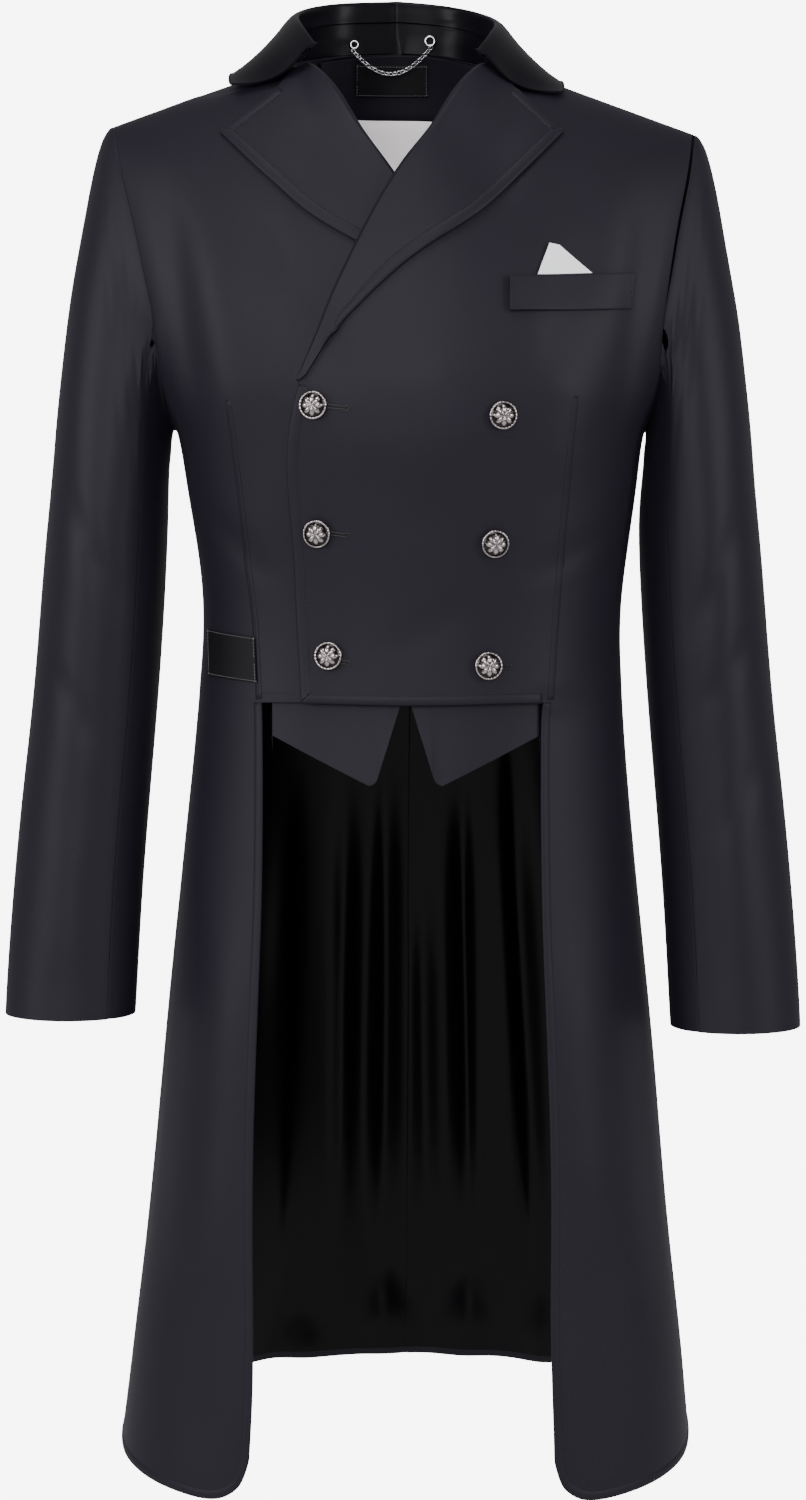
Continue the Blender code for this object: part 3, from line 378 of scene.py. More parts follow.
class Bench:
    """Small helpers round Blender's operators."""

    @staticmethod
    def take(piece: bpy.types.Object) -> None:
        """Select one object alone and make it the active one."""
        bpy.ops.object.select_all(action="DESELECT")
        piece.select_set(True)
        bpy.context.view_layer.objects.active = piece

    @staticmethod
    def apply(piece: bpy.types.Object, modifier: bpy.types.Modifier) -> None:
        """Apply a modifier of an object."""
        Bench.take(piece)
        bpy.ops.object.modifier_apply(modifier=modifier.name)

    @staticmethod
    def link(name: str, mesh: bpy.types.Mesh) -> bpy.types.Object:
        """Put a mesh into the scene.

        Args:
            name: Name of the new object.
            mesh: Its mesh.

        Returns:
            The object.
        """
        piece = bpy.data.objects.new(name, mesh)
        bpy.context.scene.collection.objects.link(piece)
        return piece

    @staticmethod
    def from_arrays(name: str, points: np.ndarray, faces: list) -> bpy.types.Object:
        """Make an object from points and faces, with its faces turned outwards.

        Args:
            name: Name of the new object.
            points: Points in metres.
            faces: Lists of point numbers.

        Returns:
            The object.
        """
        mesh = bpy.data.meshes.new(name)
        mesh.from_pydata([tuple(point) for point in points], [], faces)
        mesh.validate()
        shell = bmesh.new()
        shell.from_mesh(mesh)
        bmesh.ops.recalc_face_normals(shell, faces=shell.faces)
        shell.to_mesh(mesh)
        shell.free()
        mesh.shade_smooth()
        return Bench.link(name, mesh)

    @staticmethod
    def points_of(mesh: bpy.types.Mesh) -> np.ndarray:
        """All points of a mesh."""
        points = np.empty(len(mesh.vertices) * 3)
        mesh.vertices.foreach_get("co", points)
        return points.reshape(-1, 3)

    @staticmethod
    def corners_of(mesh: bpy.types.Mesh) -> np.ndarray:
        """Number of the point at each corner of the faces."""
        numbers = np.empty(len(mesh.loops), dtype=int)
        mesh.loops.foreach_get("vertex_index", numbers)
        return numbers

    @staticmethod
    def move_points(mesh: bpy.types.Mesh, points: np.ndarray) -> None:
        """Give a mesh new points."""
        mesh.vertices.foreach_set("co", points.ravel())
        mesh.update()

    @staticmethod
    def finish(
        piece: bpy.types.Object, finish: "Finish", slot: str, nodes: tuple[str, ...] = ()
    ) -> bpy.types.Object:
        """Dress a piece and say what it rides on.

        Args:
            piece: The finished piece.
            finish: Its finish.
            slot: Name of the record's material slot; not used.
            nodes: Solids that it stands for.

        Returns:
            The same piece.
        """
        piece.data.materials.clear()
        piece.data.materials.append(finish.material())
        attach(piece, "root")
        if nodes:
            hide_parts(*nodes)
        LOG.info("%s: %d faces", piece.name, len(piece.data.polygons))
        return piece


# Finishes


@dataclass(frozen=True)
class Finish:
    """A surface finish with its colours, gloss and relief, and a glow that is painted light."""

    name: str
    colour: tuple[float, float, float]
    roughness: float
    metallic: float = 0.0
    glow: float = 0.0
    sheen: float = 0.0
    sheen_tint: tuple[float, float, float] = (1.0, 1.0, 1.0)
    specular: float = 0.5

    def material(self) -> bpy.types.Material:
        """The finish as a material, made once."""
        title = f"dressed_{self.name}"
        if title in bpy.data.materials:
            return bpy.data.materials[title]
        material = bpy.data.materials.new(title)
        material.use_nodes = True
        shader = material.node_tree.nodes["Principled BSDF"]
        shader.inputs["Base Color"].default_value = (*self.colour, 1.0)
        shader.inputs["Roughness"].default_value = self.roughness
        shader.inputs["Metallic"].default_value = self.metallic
        shader.inputs["Sheen Weight"].default_value = self.sheen
        shader.inputs["Sheen Roughness"].default_value = 0.45
        shader.inputs["Sheen Tint"].default_value = (*self.sheen_tint, 1.0)
        shader.inputs["Specular IOR Level"].default_value = self.specular
        # Painted light: a finish with glow gives off white light of its own
        shader.inputs["Emission Color"].default_value = (1.0, 1.0, 1.0, 1.0)
        shader.inputs["Emission Strength"].default_value = self.glow
        self.detail(material.node_tree, shader)
        return material

    def detail(self, tree: bpy.types.NodeTree, shader: bpy.types.Node) -> None:
        """Add the finish's own pattern and relief."""


def node(tree: bpy.types.NodeTree, kind: str, **inputs: float | tuple) -> bpy.types.Node:
    """Add a node and set its sockets.

    Args:
        tree: The material's tree.
        kind: The node's type.
        inputs: Socket values, with underscores for spaces.

    Returns:
        The node.
    """
    made = tree.nodes.new(kind)
    for name, value in inputs.items():
        made.inputs[name.replace("_", " ")].default_value = value
    return made


def ramp(tree: bpy.types.NodeTree, *stops: tuple[float, tuple[float, ...]]) -> bpy.types.Node:
    """Add a ramp between two colours.

    Args:
        tree: The material's tree.
        stops: Position and colour of its two ends.

    Returns:
        The ramp's node.
    """
    tone = tree.nodes.new("ShaderNodeValToRGB")
    for element, (position, colour) in zip(tone.color_ramp.elements, stops):
        element.position = position
        element.color = (*colour, 1.0)
    return tone


@dataclass(frozen=True)
class WovenFinish(Finish):
    """Cloth with fine threads along and across its own lay."""

    pitch: float = 0.0008
    relief: float = 0.22
    mottle: float = 0.10
    twill: bool = True
    stretch: float = 1.0

    def detail(self, tree: bpy.types.NodeTree, shader: bpy.types.Node) -> None:
        """Add threads, fibre and a slow change of shade."""
        place = tree.nodes.new("ShaderNodeUVMap")
        place.uv_map = "threads"
        rib = node(tree, "ShaderNodeTexWave", Scale=0.314 / self.pitch, Distortion=0.6, Detail=1.0)
        rib.bands_direction = "DIAGONAL" if self.twill else "Y"
        fibre = node(tree, "ShaderNodeTexNoise", Scale=1.0, Detail=3.0, Roughness=0.6)
        fibre_place = node(tree, "ShaderNodeMapping", Scale=(1400.0, 1400.0 / self.stretch, 1400.0))
        slow = node(tree, "ShaderNodeTexNoise", Scale=16.0, Detail=2.0)
        tree.links.new(place.outputs["UV"], rib.inputs["Vector"])
        tree.links.new(place.outputs["UV"], fibre_place.inputs["Vector"])
        tree.links.new(fibre_place.outputs["Vector"], fibre.inputs["Vector"])
        tree.links.new(place.outputs["UV"], slow.inputs["Vector"])

        height = node(tree, "ShaderNodeMix", Factor=0.5)
        tree.links.new(rib.outputs["Fac"], height.inputs[2])
        tree.links.new(fibre.outputs["Fac"], height.inputs[3])
        bump = node(tree, "ShaderNodeBump", Strength=self.relief, Distance=0.0003)
        tree.links.new(height.outputs[0], bump.inputs["Height"])
        tree.links.new(bump.outputs["Normal"], shader.inputs["Normal"])

        shade = node(tree, "ShaderNodeMix", Factor=0.35)
        tree.links.new(height.outputs[0], shade.inputs[2])
        tree.links.new(slow.outputs["Fac"], shade.inputs[3])
        dark = tuple(value * (1 - self.mottle) for value in self.colour)
        light = tuple(min(1.0, value * (1 + self.mottle)) for value in self.colour)
        tone = ramp(tree, (0.3, dark), (0.7, light))
        tree.links.new(shade.outputs[0], tone.inputs["Fac"])
        tree.links.new(tone.outputs["Color"], shader.inputs["Base Color"])


@dataclass(frozen=True)
class MetalFinish(Finish):
    """Polished metal with faint wear, and painted shade in its hollows."""

    wear: float = 0.12
    # Whether the hollows are darkened with painted shade
    painted_hollow_shade: bool = False

    def detail(self, tree: bpy.types.NodeTree, shader: bpy.types.Node) -> None:
        """Add uneven gloss, fine scratches and painted shade in the hollows."""
        # Painted shade: where the point's share is low the colour falls to 7 per cent, darkening the hollows
        if self.painted_hollow_shade:
            raised = tree.nodes.new("ShaderNodeAttribute")
            raised.attribute_name = "out_of_painted_shade"
            dark = tuple(value * 0.07 for value in self.colour)
            tone = ramp(tree, (0.15, dark), (0.85, self.colour))
            tree.links.new(raised.outputs["Fac"], tone.inputs["Fac"])
            tree.links.new(tone.outputs["Color"], shader.inputs["Base Color"])
        place = tree.nodes.new("ShaderNodeTexCoord")
        grain = node(tree, "ShaderNodeTexNoise", Scale=900.0, Detail=4.0)
        gloss = node(tree, "ShaderNodeMapRange")
        gloss.inputs["To Min"].default_value = max(0.02, self.roughness - self.wear / 2)
        gloss.inputs["To Max"].default_value = self.roughness + self.wear
        tree.links.new(place.outputs["Object"], grain.inputs["Vector"])
        tree.links.new(grain.outputs["Fac"], gloss.inputs["Value"])
        tree.links.new(gloss.outputs["Result"], shader.inputs["Roughness"])
        bump = node(tree, "ShaderNodeBump", Strength=0.05, Distance=0.0001)
        tree.links.new(grain.outputs["Fac"], bump.inputs["Height"])
        tree.links.new(bump.outputs["Normal"], shader.inputs["Normal"])


@dataclass(frozen=True)
class PaperFinish(Finish):
    """Studio paper that is burnt out to white for the camera."""

    brightness: float = 7.0

    def detail(self, tree: bpy.types.NodeTree, shader: bpy.types.Node) -> None:
        """Light it up where the camera sees it."""
        path = tree.nodes.new("ShaderNodeLightPath")
        glow = node(tree, "ShaderNodeMath")
        glow.operation = "MULTIPLY"
        glow.inputs[1].default_value = self.brightness
        tree.links.new(path.outputs["Is Camera Ray"], glow.inputs[0])
        tree.links.new(glow.outputs[0], shader.inputs["Emission Strength"])


SUITING = WovenFinish(
    "suiting", (0.0096, 0.0080, 0.0142), 0.52, sheen=0.02, sheen_tint=(0.75, 0.75, 1.0), specular=0.20
)
SATEEN = WovenFinish(
    "sateen", (0.0026, 0.0020, 0.0042), 0.34, sheen=0.01, sheen_tint=(0.8, 0.55, 0.85), pitch=0.0006,
    relief=0.12, twill=False, stretch=6.0, specular=0.14,
)
SATIN = WovenFinish(
    "satin", (0.0010, 0.0010, 0.0018), 0.30, specular=0.13, pitch=0.0005, relief=0.10, twill=False,
    stretch=30.0,
)
# Painted light: the pale lining glows so that it looks brighter than the lamps make it
PALE_LINING = WovenFinish(
    "pale_lining", (0.93, 0.86, 0.88), 0.45, glow=0.26, pitch=0.0005, relief=0.12, mottle=0.04,
    twill=False, stretch=20.0,
)
# Painted light: the white cotton glows a little so that it looks brighter than the lamps make it
WHITE_COTTON = WovenFinish(
    "white_cotton", (0.92, 0.93, 0.96), 0.75, glow=0.10, pitch=0.0005, mottle=0.03, twill=False
)
LABEL = WovenFinish(
    "label", (0.0040, 0.0040, 0.0055), 0.55, pitch=0.0005, relief=0.3, twill=False, specular=0.2
)
THREAD = Finish("thread", (0.0025, 0.0022, 0.0040), 0.42)
PALE_THREAD = Finish("pale_thread", (0.20, 0.20, 0.22), 0.50)
PIPING = Finish("piping", (0.0020, 0.0016, 0.0028), 0.40, specular=0.2)
# Gunmetal buttons, with painted shade in their hollows
GUNMETAL = MetalFinish("gunmetal", (0.42, 0.37, 0.37), 0.14, metallic=1.0, painted_hollow_shade=True)
STEEL = MetalFinish("steel", (0.80, 0.80, 0.82), 0.14, metallic=1.0)


# Cloth


@dataclass(frozen=True)
class Cut:
    """Flat size of a cut piece: width, length and area."""

    width: float
    length: float
    area: float


def unit(values: np.ndarray) -> np.ndarray:
    """The same directions, each with length one."""
    return values / np.maximum(np.linalg.norm(values, axis=1, keepdims=True), TINY)


def lengths_along(points: np.ndarray) -> np.ndarray:
    """Length of a run up to each of its points."""
    return np.concatenate([[0.0], np.cumsum(np.linalg.norm(np.diff(points, axis=0), axis=1))])


def at_lengths(spots: np.ndarray, along: np.ndarray, values: np.ndarray) -> np.ndarray:
    """What a run's points carry, read at other lengths along it.

    Args:
        spots: The wanted lengths.
        along: Length up to each point.
        values: A row in space for each point.

    Returns:
        A row for each wanted length.
    """
    return np.stack([np.interp(spots, along, values[:, axis]) for axis in range(3)], axis=1)


def tree_of(points: np.ndarray) -> KDTree:
    """A search tree of points, each with its number."""
    tree = KDTree(len(points))
    for number, point in enumerate(points):
        tree.insert(point, number)
    tree.balance()
    return tree


@dataclass
class Border:
    """The edge of a piece's outer wall, as a closed run of points."""

    points: np.ndarray
    normals: np.ndarray
    inwards: np.ndarray

    def farthest(self, direction: tuple[float, float, float]) -> np.ndarray:
        """The border's farthest point in a direction."""
        return self.points[int(np.argmax(self.points @ np.array(direction)))]

    def nearest(self, place: tuple | np.ndarray) -> int:
        """Number of the nearest point: to a place in space, or to one of the front view."""
        points = self.points if len(place) == 3 else self.points[:, [0, 2]]
        return int(np.argmin(np.linalg.norm(points - np.array(place), axis=1)))

    def between(self, start: tuple, middle: tuple, end: tuple, step: float = SEAM_STEP) -> "Border":
        """The stretch of the edge from one place to another.

        Args:
            start: A place near which it begins, in space or in the front view.
            middle: A place that it passes.
            end: A place near which it ends.
            step: Distance between its points.

        Returns:
            The stretch, with even steps.
        """
        first, passing, last = (self.nearest(place) for place in (start, middle, end))
        count = len(self.points)
        onwards = [(first + turn) % count for turn in range((last - first) % count + 1)]
        if passing not in onwards:
            onwards = [(first - turn) % count for turn in range((first - last) % count + 1)]
        return Border(self.points[onwards], self.normals[onwards], self.inwards[onwards]).even(step)

    def even(self, step: float) -> "Border":
        """The same run with even steps."""
        along = lengths_along(self.points)
        spots = np.linspace(0.0, along[-1], max(2, round(along[-1] / step) + 1))
        points, normals, inwards = (
            at_lengths(spots, along, values) for values in (self.points, self.normals, self.inwards)
        )
        return Border(points, unit(normals), unit(inwards))

    def asides(self) -> np.ndarray:
        """Directions into the cloth, square to its normals and to the edge."""
        run = unit(np.gradient(self.points, axis=0))
        aside = self.inwards - self.normals * (self.inwards * self.normals).sum(axis=1, keepdims=True)
        aside -= run * (aside * run).sum(axis=1, keepdims=True)
        return unit(aside)


@dataclass
class Cloth:
    """One cut piece of cloth, on the form of its solid."""

    node: str
    finish: Finish
    slot: str
    cut: Cut
    region: Region = Region.BODY
    levels: int = 2
    seen_inside: bool = False
    overlaps: bool = False
    held: str = "hung"
    extra_folds: tuple[Fold, ...] = ()
    low_edge: tuple[tuple[float, float], ...] = ()
    piece: bpy.types.Object | None = None
    border: Border | None = None
    border_run: list[int] = field(default_factory=list)
    wall_faces: list[tuple[int, ...]] = field(default_factory=list)
    wall: BVHTree | None = None
    trims: list[bpy.types.Object] = field(default_factory=list)

    def shape(self) -> "Cloth":
        """Model the piece and read its border.

        Returns:
            The same cloth.
        """
        self.piece = self.smoothed_copy()
        self.read_wall()
        if self.low_edge:
            self.cut_low_edge()
        return self

    def cut_low_edge(self) -> None:
        """Stretch the piece down to its own low edge, corners and all."""
        line = self.border.points[self.border.points[:, 2] < WAIST - LOW_EDGE_START]
        line = line[np.argsort(line[:, 0])]
        rows = np.array(self.low_edge)
        points = Bench.points_of(self.piece.data)
        now = np.interp(points[:, 0], line[:, 0], line[:, 2])
        wanted = np.interp(points[:, 0], rows[:, 0], rows[:, 1])
        share = np.clip((points[:, 2] - WAIST) / np.minimum(now - WAIST, -LOW_EDGE_START), 0.0, 1.2)
        points[:, 2] += (wanted - now) * share
        Bench.move_points(self.piece.data, points)
        self.read_border()

    def dress(self) -> "Cloth":
        """Lay the folds, round the rims and add the finish.

        Returns:
            The same cloth.
        """
        points = Bench.points_of(self.piece.data)
        Bench.move_points(self.piece.data, settled(self.region, points, self.extra_folds))
        self.read_border()
        self.round_rims()
        self.lay_threads()
        Bench.finish(self.piece, self.finish, self.slot, (self.node,))
        return self

    def smoothed_copy(self) -> bpy.types.Object:
        """A merged copy of the solid with its grid of squares subdivided and its rims kept firm."""
        shell = bmesh.new()
        shell.from_mesh(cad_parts[self.node].data)
        bmesh.ops.remove_doubles(shell, verts=shell.verts, dist=MERGE)
        if self.overlaps:
            self.unfold(shell)
        bmesh.ops.join_triangles(
            shell,
            faces=shell.faces,
            angle_face_threshold=GRID_FLATNESS,
            angle_shape_threshold=GRID_SHAPE,
        )
        crease = self.crease_rims(shell)
        for face in self.outer_wall(shell, crease):
            face.material_index = OUTER
        firm = np.array([any(edge[crease] > 0 for edge in vertex.link_edges) for vertex in shell.verts])
        mesh = bpy.data.meshes.new(f"{self.node}_cloth")
        shell.to_mesh(mesh)
        shell.free()
        for name in [layer.name for layer in mesh.attributes]:
            if name in ("custom_normal", "sharp_edge"):
                mesh.attributes.remove(mesh.attributes[name])
        mesh.shade_smooth()
        piece = Bench.link(f"{self.node}_cloth", mesh)
        smooth = piece.modifiers.new("smooth", "SUBSURF")
        smooth.levels = 1
        smooth.render_levels = 1
        self.fit(piece, firm)
        smooth.levels = self.levels
        smooth.render_levels = self.levels
        Bench.apply(piece, smooth)
        return piece

    @staticmethod
    def crease_rims(shell: bmesh.types.BMesh) -> bmesh.types.BMLayerItem:
        """Keep the thin rims and their corners firm.

        Args:
            shell: The merged copy of the solid, in squares.

        Returns:
            Layer of the edges' creases.
        """
        crease = shell.edges.layers.float.new("crease_edge")
        for edge in shell.edges:
            edge.smooth = True
            if len(edge.link_faces) == 2 and edge.calc_face_angle() > RIM_TURN:
                thinnest = min(
                    face.calc_area() / max(side.calc_length() for side in face.edges)
                    for face in edge.link_faces
                )
                if thinnest < RIM:
                    edge[crease] = 1.0
        corner = shell.verts.layers.float.new("crease_vert")
        for vertex in shell.verts:
            arms = [edge.other_vert(vertex).co - vertex.co for edge in vertex.link_edges if edge[crease] > 0]
            if len(arms) == 2 and math.pi - arms[0].angle(arms[1]) > CORNER_TURN:
                vertex[corner] = 1.0
        return crease

    @staticmethod
    def fit(piece: bpy.types.Object, firm: np.ndarray) -> None:
        """Move the cage until the subdivided cloth lies on its solid.

        Args:
            piece: The piece, with its subdivision still to be applied.
            firm: Whether each point is on a rim, where it is met in place and not in height alone.
        """
        mesh = piece.data
        wanted = Bench.points_of(mesh)
        out = np.array([vertex.normal for vertex in mesh.vertices])
        cage = wanted.copy()
        for _turn in range(FITTING_TURNS):
            seen = piece.evaluated_get(bpy.context.evaluated_depsgraph_get())
            short = wanted - Bench.points_of(seen.to_mesh())[: len(wanted)]
            short_out = out * (short * out).sum(axis=1, keepdims=True)
            shift = cage + np.where(firm[:, None], short, short_out) - wanted
            reach = np.maximum(np.linalg.norm(shift, axis=1, keepdims=True), TINY)
            cage = wanted + shift * np.minimum(1.0, FITTING_REACH / reach)
            seen.to_mesh_clear()
            Bench.move_points(mesh, cage)

    @staticmethod
    def unfold(shell: bmesh.types.BMesh) -> None:
        """Smooth the faces apart that lie folded over each other.

        Args:
            shell: The merged copy of the solid.
        """
        for _turn in range(UNFOLDING_TURNS):
            folded = [edge for edge in shell.edges if edge.calc_face_angle(0.0) > FOLDED_OVER]
            corners = list(dict.fromkeys(vertex for edge in folded for vertex in edge.verts))
            if corners:
                bmesh.ops.smooth_vert(
                    shell, verts=corners, factor=0.5, use_axis_x=True, use_axis_y=True, use_axis_z=True
                )
                shell.normal_update()

    def outer_wall(
        self, shell: bmesh.types.BMesh, crease: bmesh.types.BMLayerItem
    ) -> list[bmesh.types.BMFace]:
        """The wall that is seen, bounded by the creased rims.

        Args:
            shell: The merged copy of the solid.
            crease: Layer of the edges' creases.

        Returns:
            Its faces.
        """
        shell.faces.ensure_lookup_table()
        left = dict.fromkeys(shell.faces)
        walls = []
        while left:
            seed = next(iter(left))
            del left[seed]
            wall, waiting = [seed], [seed]
            while waiting:
                for edge in waiting.pop().edges:
                    if edge[crease] > 0:
                        continue
                    for near in edge.link_faces:
                        if near in left:
                            del left[near]
                            wall.append(near)
                            waiting.append(near)
            walls.append(wall)
        walls.sort(key=lambda faces: -sum(face.calc_area() for face in faces))
        if self.region is Region.COLLAR or len(walls) < 2:
            return walls[0]
        sign = -1.0 if self.seen_inside else 1.0
        return max(walls[:2], key=lambda faces: sign * self.facing_out(faces))

    def read_wall(self) -> None:
        """Find the outer wall's faces and its border."""
        shell = bmesh.new()
        shell.from_mesh(self.piece.data)
        outer = dict.fromkeys(face for face in shell.faces if face.material_index == OUTER)
        self.border_run = self.border_of(outer)
        self.wall_faces = sorted(tuple(vertex.index for vertex in face.verts) for face in outer)
        shell.free()
        self.piece.data.polygons.foreach_set("material_index", [0] * len(self.piece.data.polygons))
        self.read_border()

    def read_border(self) -> None:
        """Read the border's points and directions, and make a tree of the outer wall."""
        points = Bench.points_of(self.piece.data)
        faces = np.array([face[:3] for face in self.wall_faces])
        first, second, third = (points[faces[:, corner]] for corner in range(3))
        normals = np.cross(second - first, third - first)
        centres = np.array([points[list(face)].mean(axis=0) for face in self.wall_faces])
        on_border = {vertex: place for place, vertex in enumerate(self.border_run)}
        out = np.zeros((len(self.border_run), 3))
        inside = np.zeros((len(self.border_run), 3))
        for face, normal, centre in zip(self.wall_faces, normals, centres):
            for vertex in face:
                if vertex in on_border:
                    out[on_border[vertex]] += normal / max(np.linalg.norm(normal), TINIEST)
                    inside[on_border[vertex]] += centre - points[vertex]
        self.border = Border(points[self.border_run], unit(out), unit(inside))
        self.wall = BVHTree.FromPolygons([Vector(point) for point in points], self.wall_faces)

    def facing_out(self, faces: list) -> float:
        """How far a wall's faces look outwards on the whole."""
        centres = np.array([face.calc_center_median() for face in faces])
        normals = np.array([face.normal * face.calc_area() for face in faces])
        return float((outward(self.region, centres) * normals).sum())

    @staticmethod
    def border_of(outer: dict) -> list[int]:
        """The longest closed edge of a wall.

        Args:
            outer: The wall's faces, in the order of the mesh.

        Returns:
            Its point numbers in order.
        """
        nexts: dict[bmesh.types.BMVert, list[bmesh.types.BMVert]] = {}
        for face in outer:
            for edge in face.edges:
                if sum(near in outer for near in edge.link_faces) == 1:
                    for vertex in edge.verts:
                        nexts.setdefault(vertex, []).append(edge.other_vert(vertex))
        best: list[bmesh.types.BMVert] = []
        unseen = dict.fromkeys(nexts)
        while unseen:
            start = next(iter(unseen))
            del unseen[start]
            run = [start]
            while True:
                ahead = [vertex for vertex in nexts[run[-1]] if vertex in unseen]
                if not ahead:
                    break
                del unseen[ahead[0]]
                run.append(ahead[0])
            if len(run) > len(best):
                best = run
        return [vertex.index for vertex in best]

    def draw_in(self, partners: list["Border"]) -> None:
        """Close the seams: move the rims half of the way to the neighbours' edges.

        Args:
            partners: Borders of the pieces that this one is sewn to.
        """
        own = self.border.points
        pull = np.zeros_like(own)
        for partner in partners:
            tree = tree_of(partner.points)
            for place, point in enumerate(own):
                near, _number, distance = tree.find(point)
                if distance < SEAM_REACH and not pull[place].any():
                    pull[place] = (np.array(near) - point) * SEAM_SHARE
        for _turn in range(SEAM_SMOOTHING):
            pull = (np.roll(pull, 1, axis=0) + 2 * pull + np.roll(pull, -1, axis=0)) / 4
        tree = tree_of(own)
        points = Bench.points_of(self.piece.data)
        moved = points.copy()
        for number, point in enumerate(points):
            _near, place, distance = tree.find(point)
            if distance < SEAM_BLEND:
                moved[number] += pull[place] * (1 - smooth_step(distance / SEAM_BLEND))
        Bench.move_points(self.piece.data, moved)

    def round_rims(self) -> None:
        """Take the sharp corner off the rims and shade the walls smooth."""
        soft = self.piece.modifiers.new("rims", "BEVEL")
        soft.limit_method = "ANGLE"
        soft.angle_limit = SHARP
        soft.width = RIM_ROUND
        soft.segments = 2
        Bench.apply(self.piece, soft)
        Bench.take(self.piece)
        bpy.ops.object.shade_smooth_by_angle(angle=RIM_SHADE)

    def lay_threads(self) -> None:
        """Give the cloth a map in metres: round the body or sleeve, and up."""
        mesh = self.piece.data
        points = Bench.points_of(mesh)
        middle = middle_line(self.region, points[:, 2])
        reach = SLEEVE_REACH if self.region in (Region.LEFT_SLEEVE, Region.RIGHT_SLEEVE) else BODY_REACH
        turn = np.arctan2(points[:, 0] - middle[:, 0], -(points[:, 1] - middle[:, 1]))
        numbers = Bench.corners_of(mesh)
        starts = np.empty(len(mesh.polygons), dtype=int)
        totals = np.empty(len(mesh.polygons), dtype=int)
        mesh.polygons.foreach_get("loop_start", starts)
        mesh.polygons.foreach_get("loop_total", totals)
        corner_turn = turn[numbers]
        first = np.repeat(corner_turn[starts], totals)
        corner_turn += np.round((first - corner_turn) / (2 * math.pi)) * 2 * math.pi
        places = np.stack([corner_turn * reach, points[numbers, 2]], axis=1)
        layer = mesh.uv_layers.new(name="threads")
        layer.data.foreach_set("uv", places.ravel())

    def declare(self) -> None:
        """Do nothing: the size of the cut is only kept on the piece."""

    def laid(self, points: np.ndarray, lift: float = 0.0) -> tuple[np.ndarray, np.ndarray]:
        """Points laid on the outer wall.

        Args:
            points: Points near the wall.
            lift: How far they stand off it.

        Returns:
            The laid points and the wall's directions there.
        """
        places, normals = [], []
        for point in points:
            place, normal, _number, _distance = self.wall.find_nearest(Vector(point))
            places.append(place + normal * lift)
            normals.append(normal)
        return np.array(places), np.array(normals)

    def seen_from_front(self, flat: np.ndarray, lift: float = 0.0) -> tuple[np.ndarray, np.ndarray]:
        """Points laid on the outer wall straight behind places of the front view.

        Args:
            flat: Places across and heights.
            lift: How far they stand off the wall.

        Returns:
            The laid points and the wall's directions there.
        """
        places, normals = [], []
        for across, height in flat:
            place, normal, _number, _distance = self.wall.ray_cast(
                Vector((across, IN_FRONT, height)), Vector((0.0, 1.0, 0.0))
            )
            if place is None:
                beside = Vector((across, CHEST, height))
                place, normal, _number, _distance = self.wall.find_nearest(beside)
            places.append(place + normal * lift)
            normals.append(normal)
        return np.array(places), np.array(normals)

    def trim(self, piece: bpy.types.Object, finish: Finish, slot: str) -> bpy.types.Object:
        """Sew a small piece to this one.

        Args:
            piece: The small piece.
            finish: Its finish.
            slot: Its slot.

        Returns:
            The small piece.
        """
        Bench.finish(piece, finish, slot)
        self.trims.append(piece)
        return piece

    def trim_in_kind(self, piece: bpy.types.Object) -> bpy.types.Object:
        """Sew on a small piece of the same cloth, with a map of its own."""
        add_threads(piece)
        return self.trim(piece, self.finish, self.slot)


# Sewn details

# Length over which a strip tapers off, and outlines of a turned edge and of a dart
TAPER_REACH = 0.075
EDGE_LIP = 0.002
EDGE_OUTLINE = (
    (-0.0003, -0.0017),
    (-0.0006, -0.0006),
    (-0.0003, 0.0002),
    (0.0009, 0.0006),
    (0.0040, 0.0007),
    (0.0066, 0.0005),
    (0.0078, 0.0001),
    (0.0086, -0.0003),
    (0.0080, -0.0009),
    (0.0010, -0.0011),
)
DART_OUTLINE = (
    (-0.0004, -0.0006),
    (-0.0001, 0.0004),
    (0.0008, 0.0006),
    (0.0022, 0.0005),
    (0.0045, 0.0002),
    (0.0075, -0.0003),
    (0.0040, -0.0008),
    (0.0008, -0.0008),
)
DART_STEPS = 60
DART_FADE = 0.25
DART_SINK = 0.0006

# Corners of a round thread, and heights of its middle above the cloth against its radius
THREAD_CORNERS = 8
STITCH_LIFT = 0.55
EDGING_LIFT = 0.35


def swept(
    name: str, points: np.ndarray, normals: np.ndarray, asides: np.ndarray, outline: tuple
) -> bpy.types.Object:
    """A closed strip with one outline along a run of points.

    Args:
        name: Name of the new object.
        points: The run.
        normals: Directions out of the cloth.
        asides: Directions along the cloth, across the run.
        outline: Place aside and height of each corner of the closed outline.

    Returns:
        The object.
    """
    rings = [points + asides * aside + normals * height for aside, height in outline]
    return lofted(name, np.stack(rings, axis=1))


def lofted(name: str, corners: np.ndarray) -> bpy.types.Object:
    """A closed strip from its rings.

    Args:
        name: Name of the new object.
        corners: Points by ring and by corner.

    Returns:
        The object.
    """
    count, around = corners.shape[:2]
    faces = []
    for ring in range(count - 1):
        for corner in range(around):
            after = (corner + 1) % around
            faces.append(
                (
                    ring * around + corner,
                    ring * around + after,
                    (ring + 1) * around + after,
                    (ring + 1) * around + corner,
                )
            )
    faces.append(tuple(range(around)))
    faces.append(tuple((count - 1) * around + corner for corner in range(around)))
    return Bench.from_arrays(name, corners.reshape(-1, 3), faces)


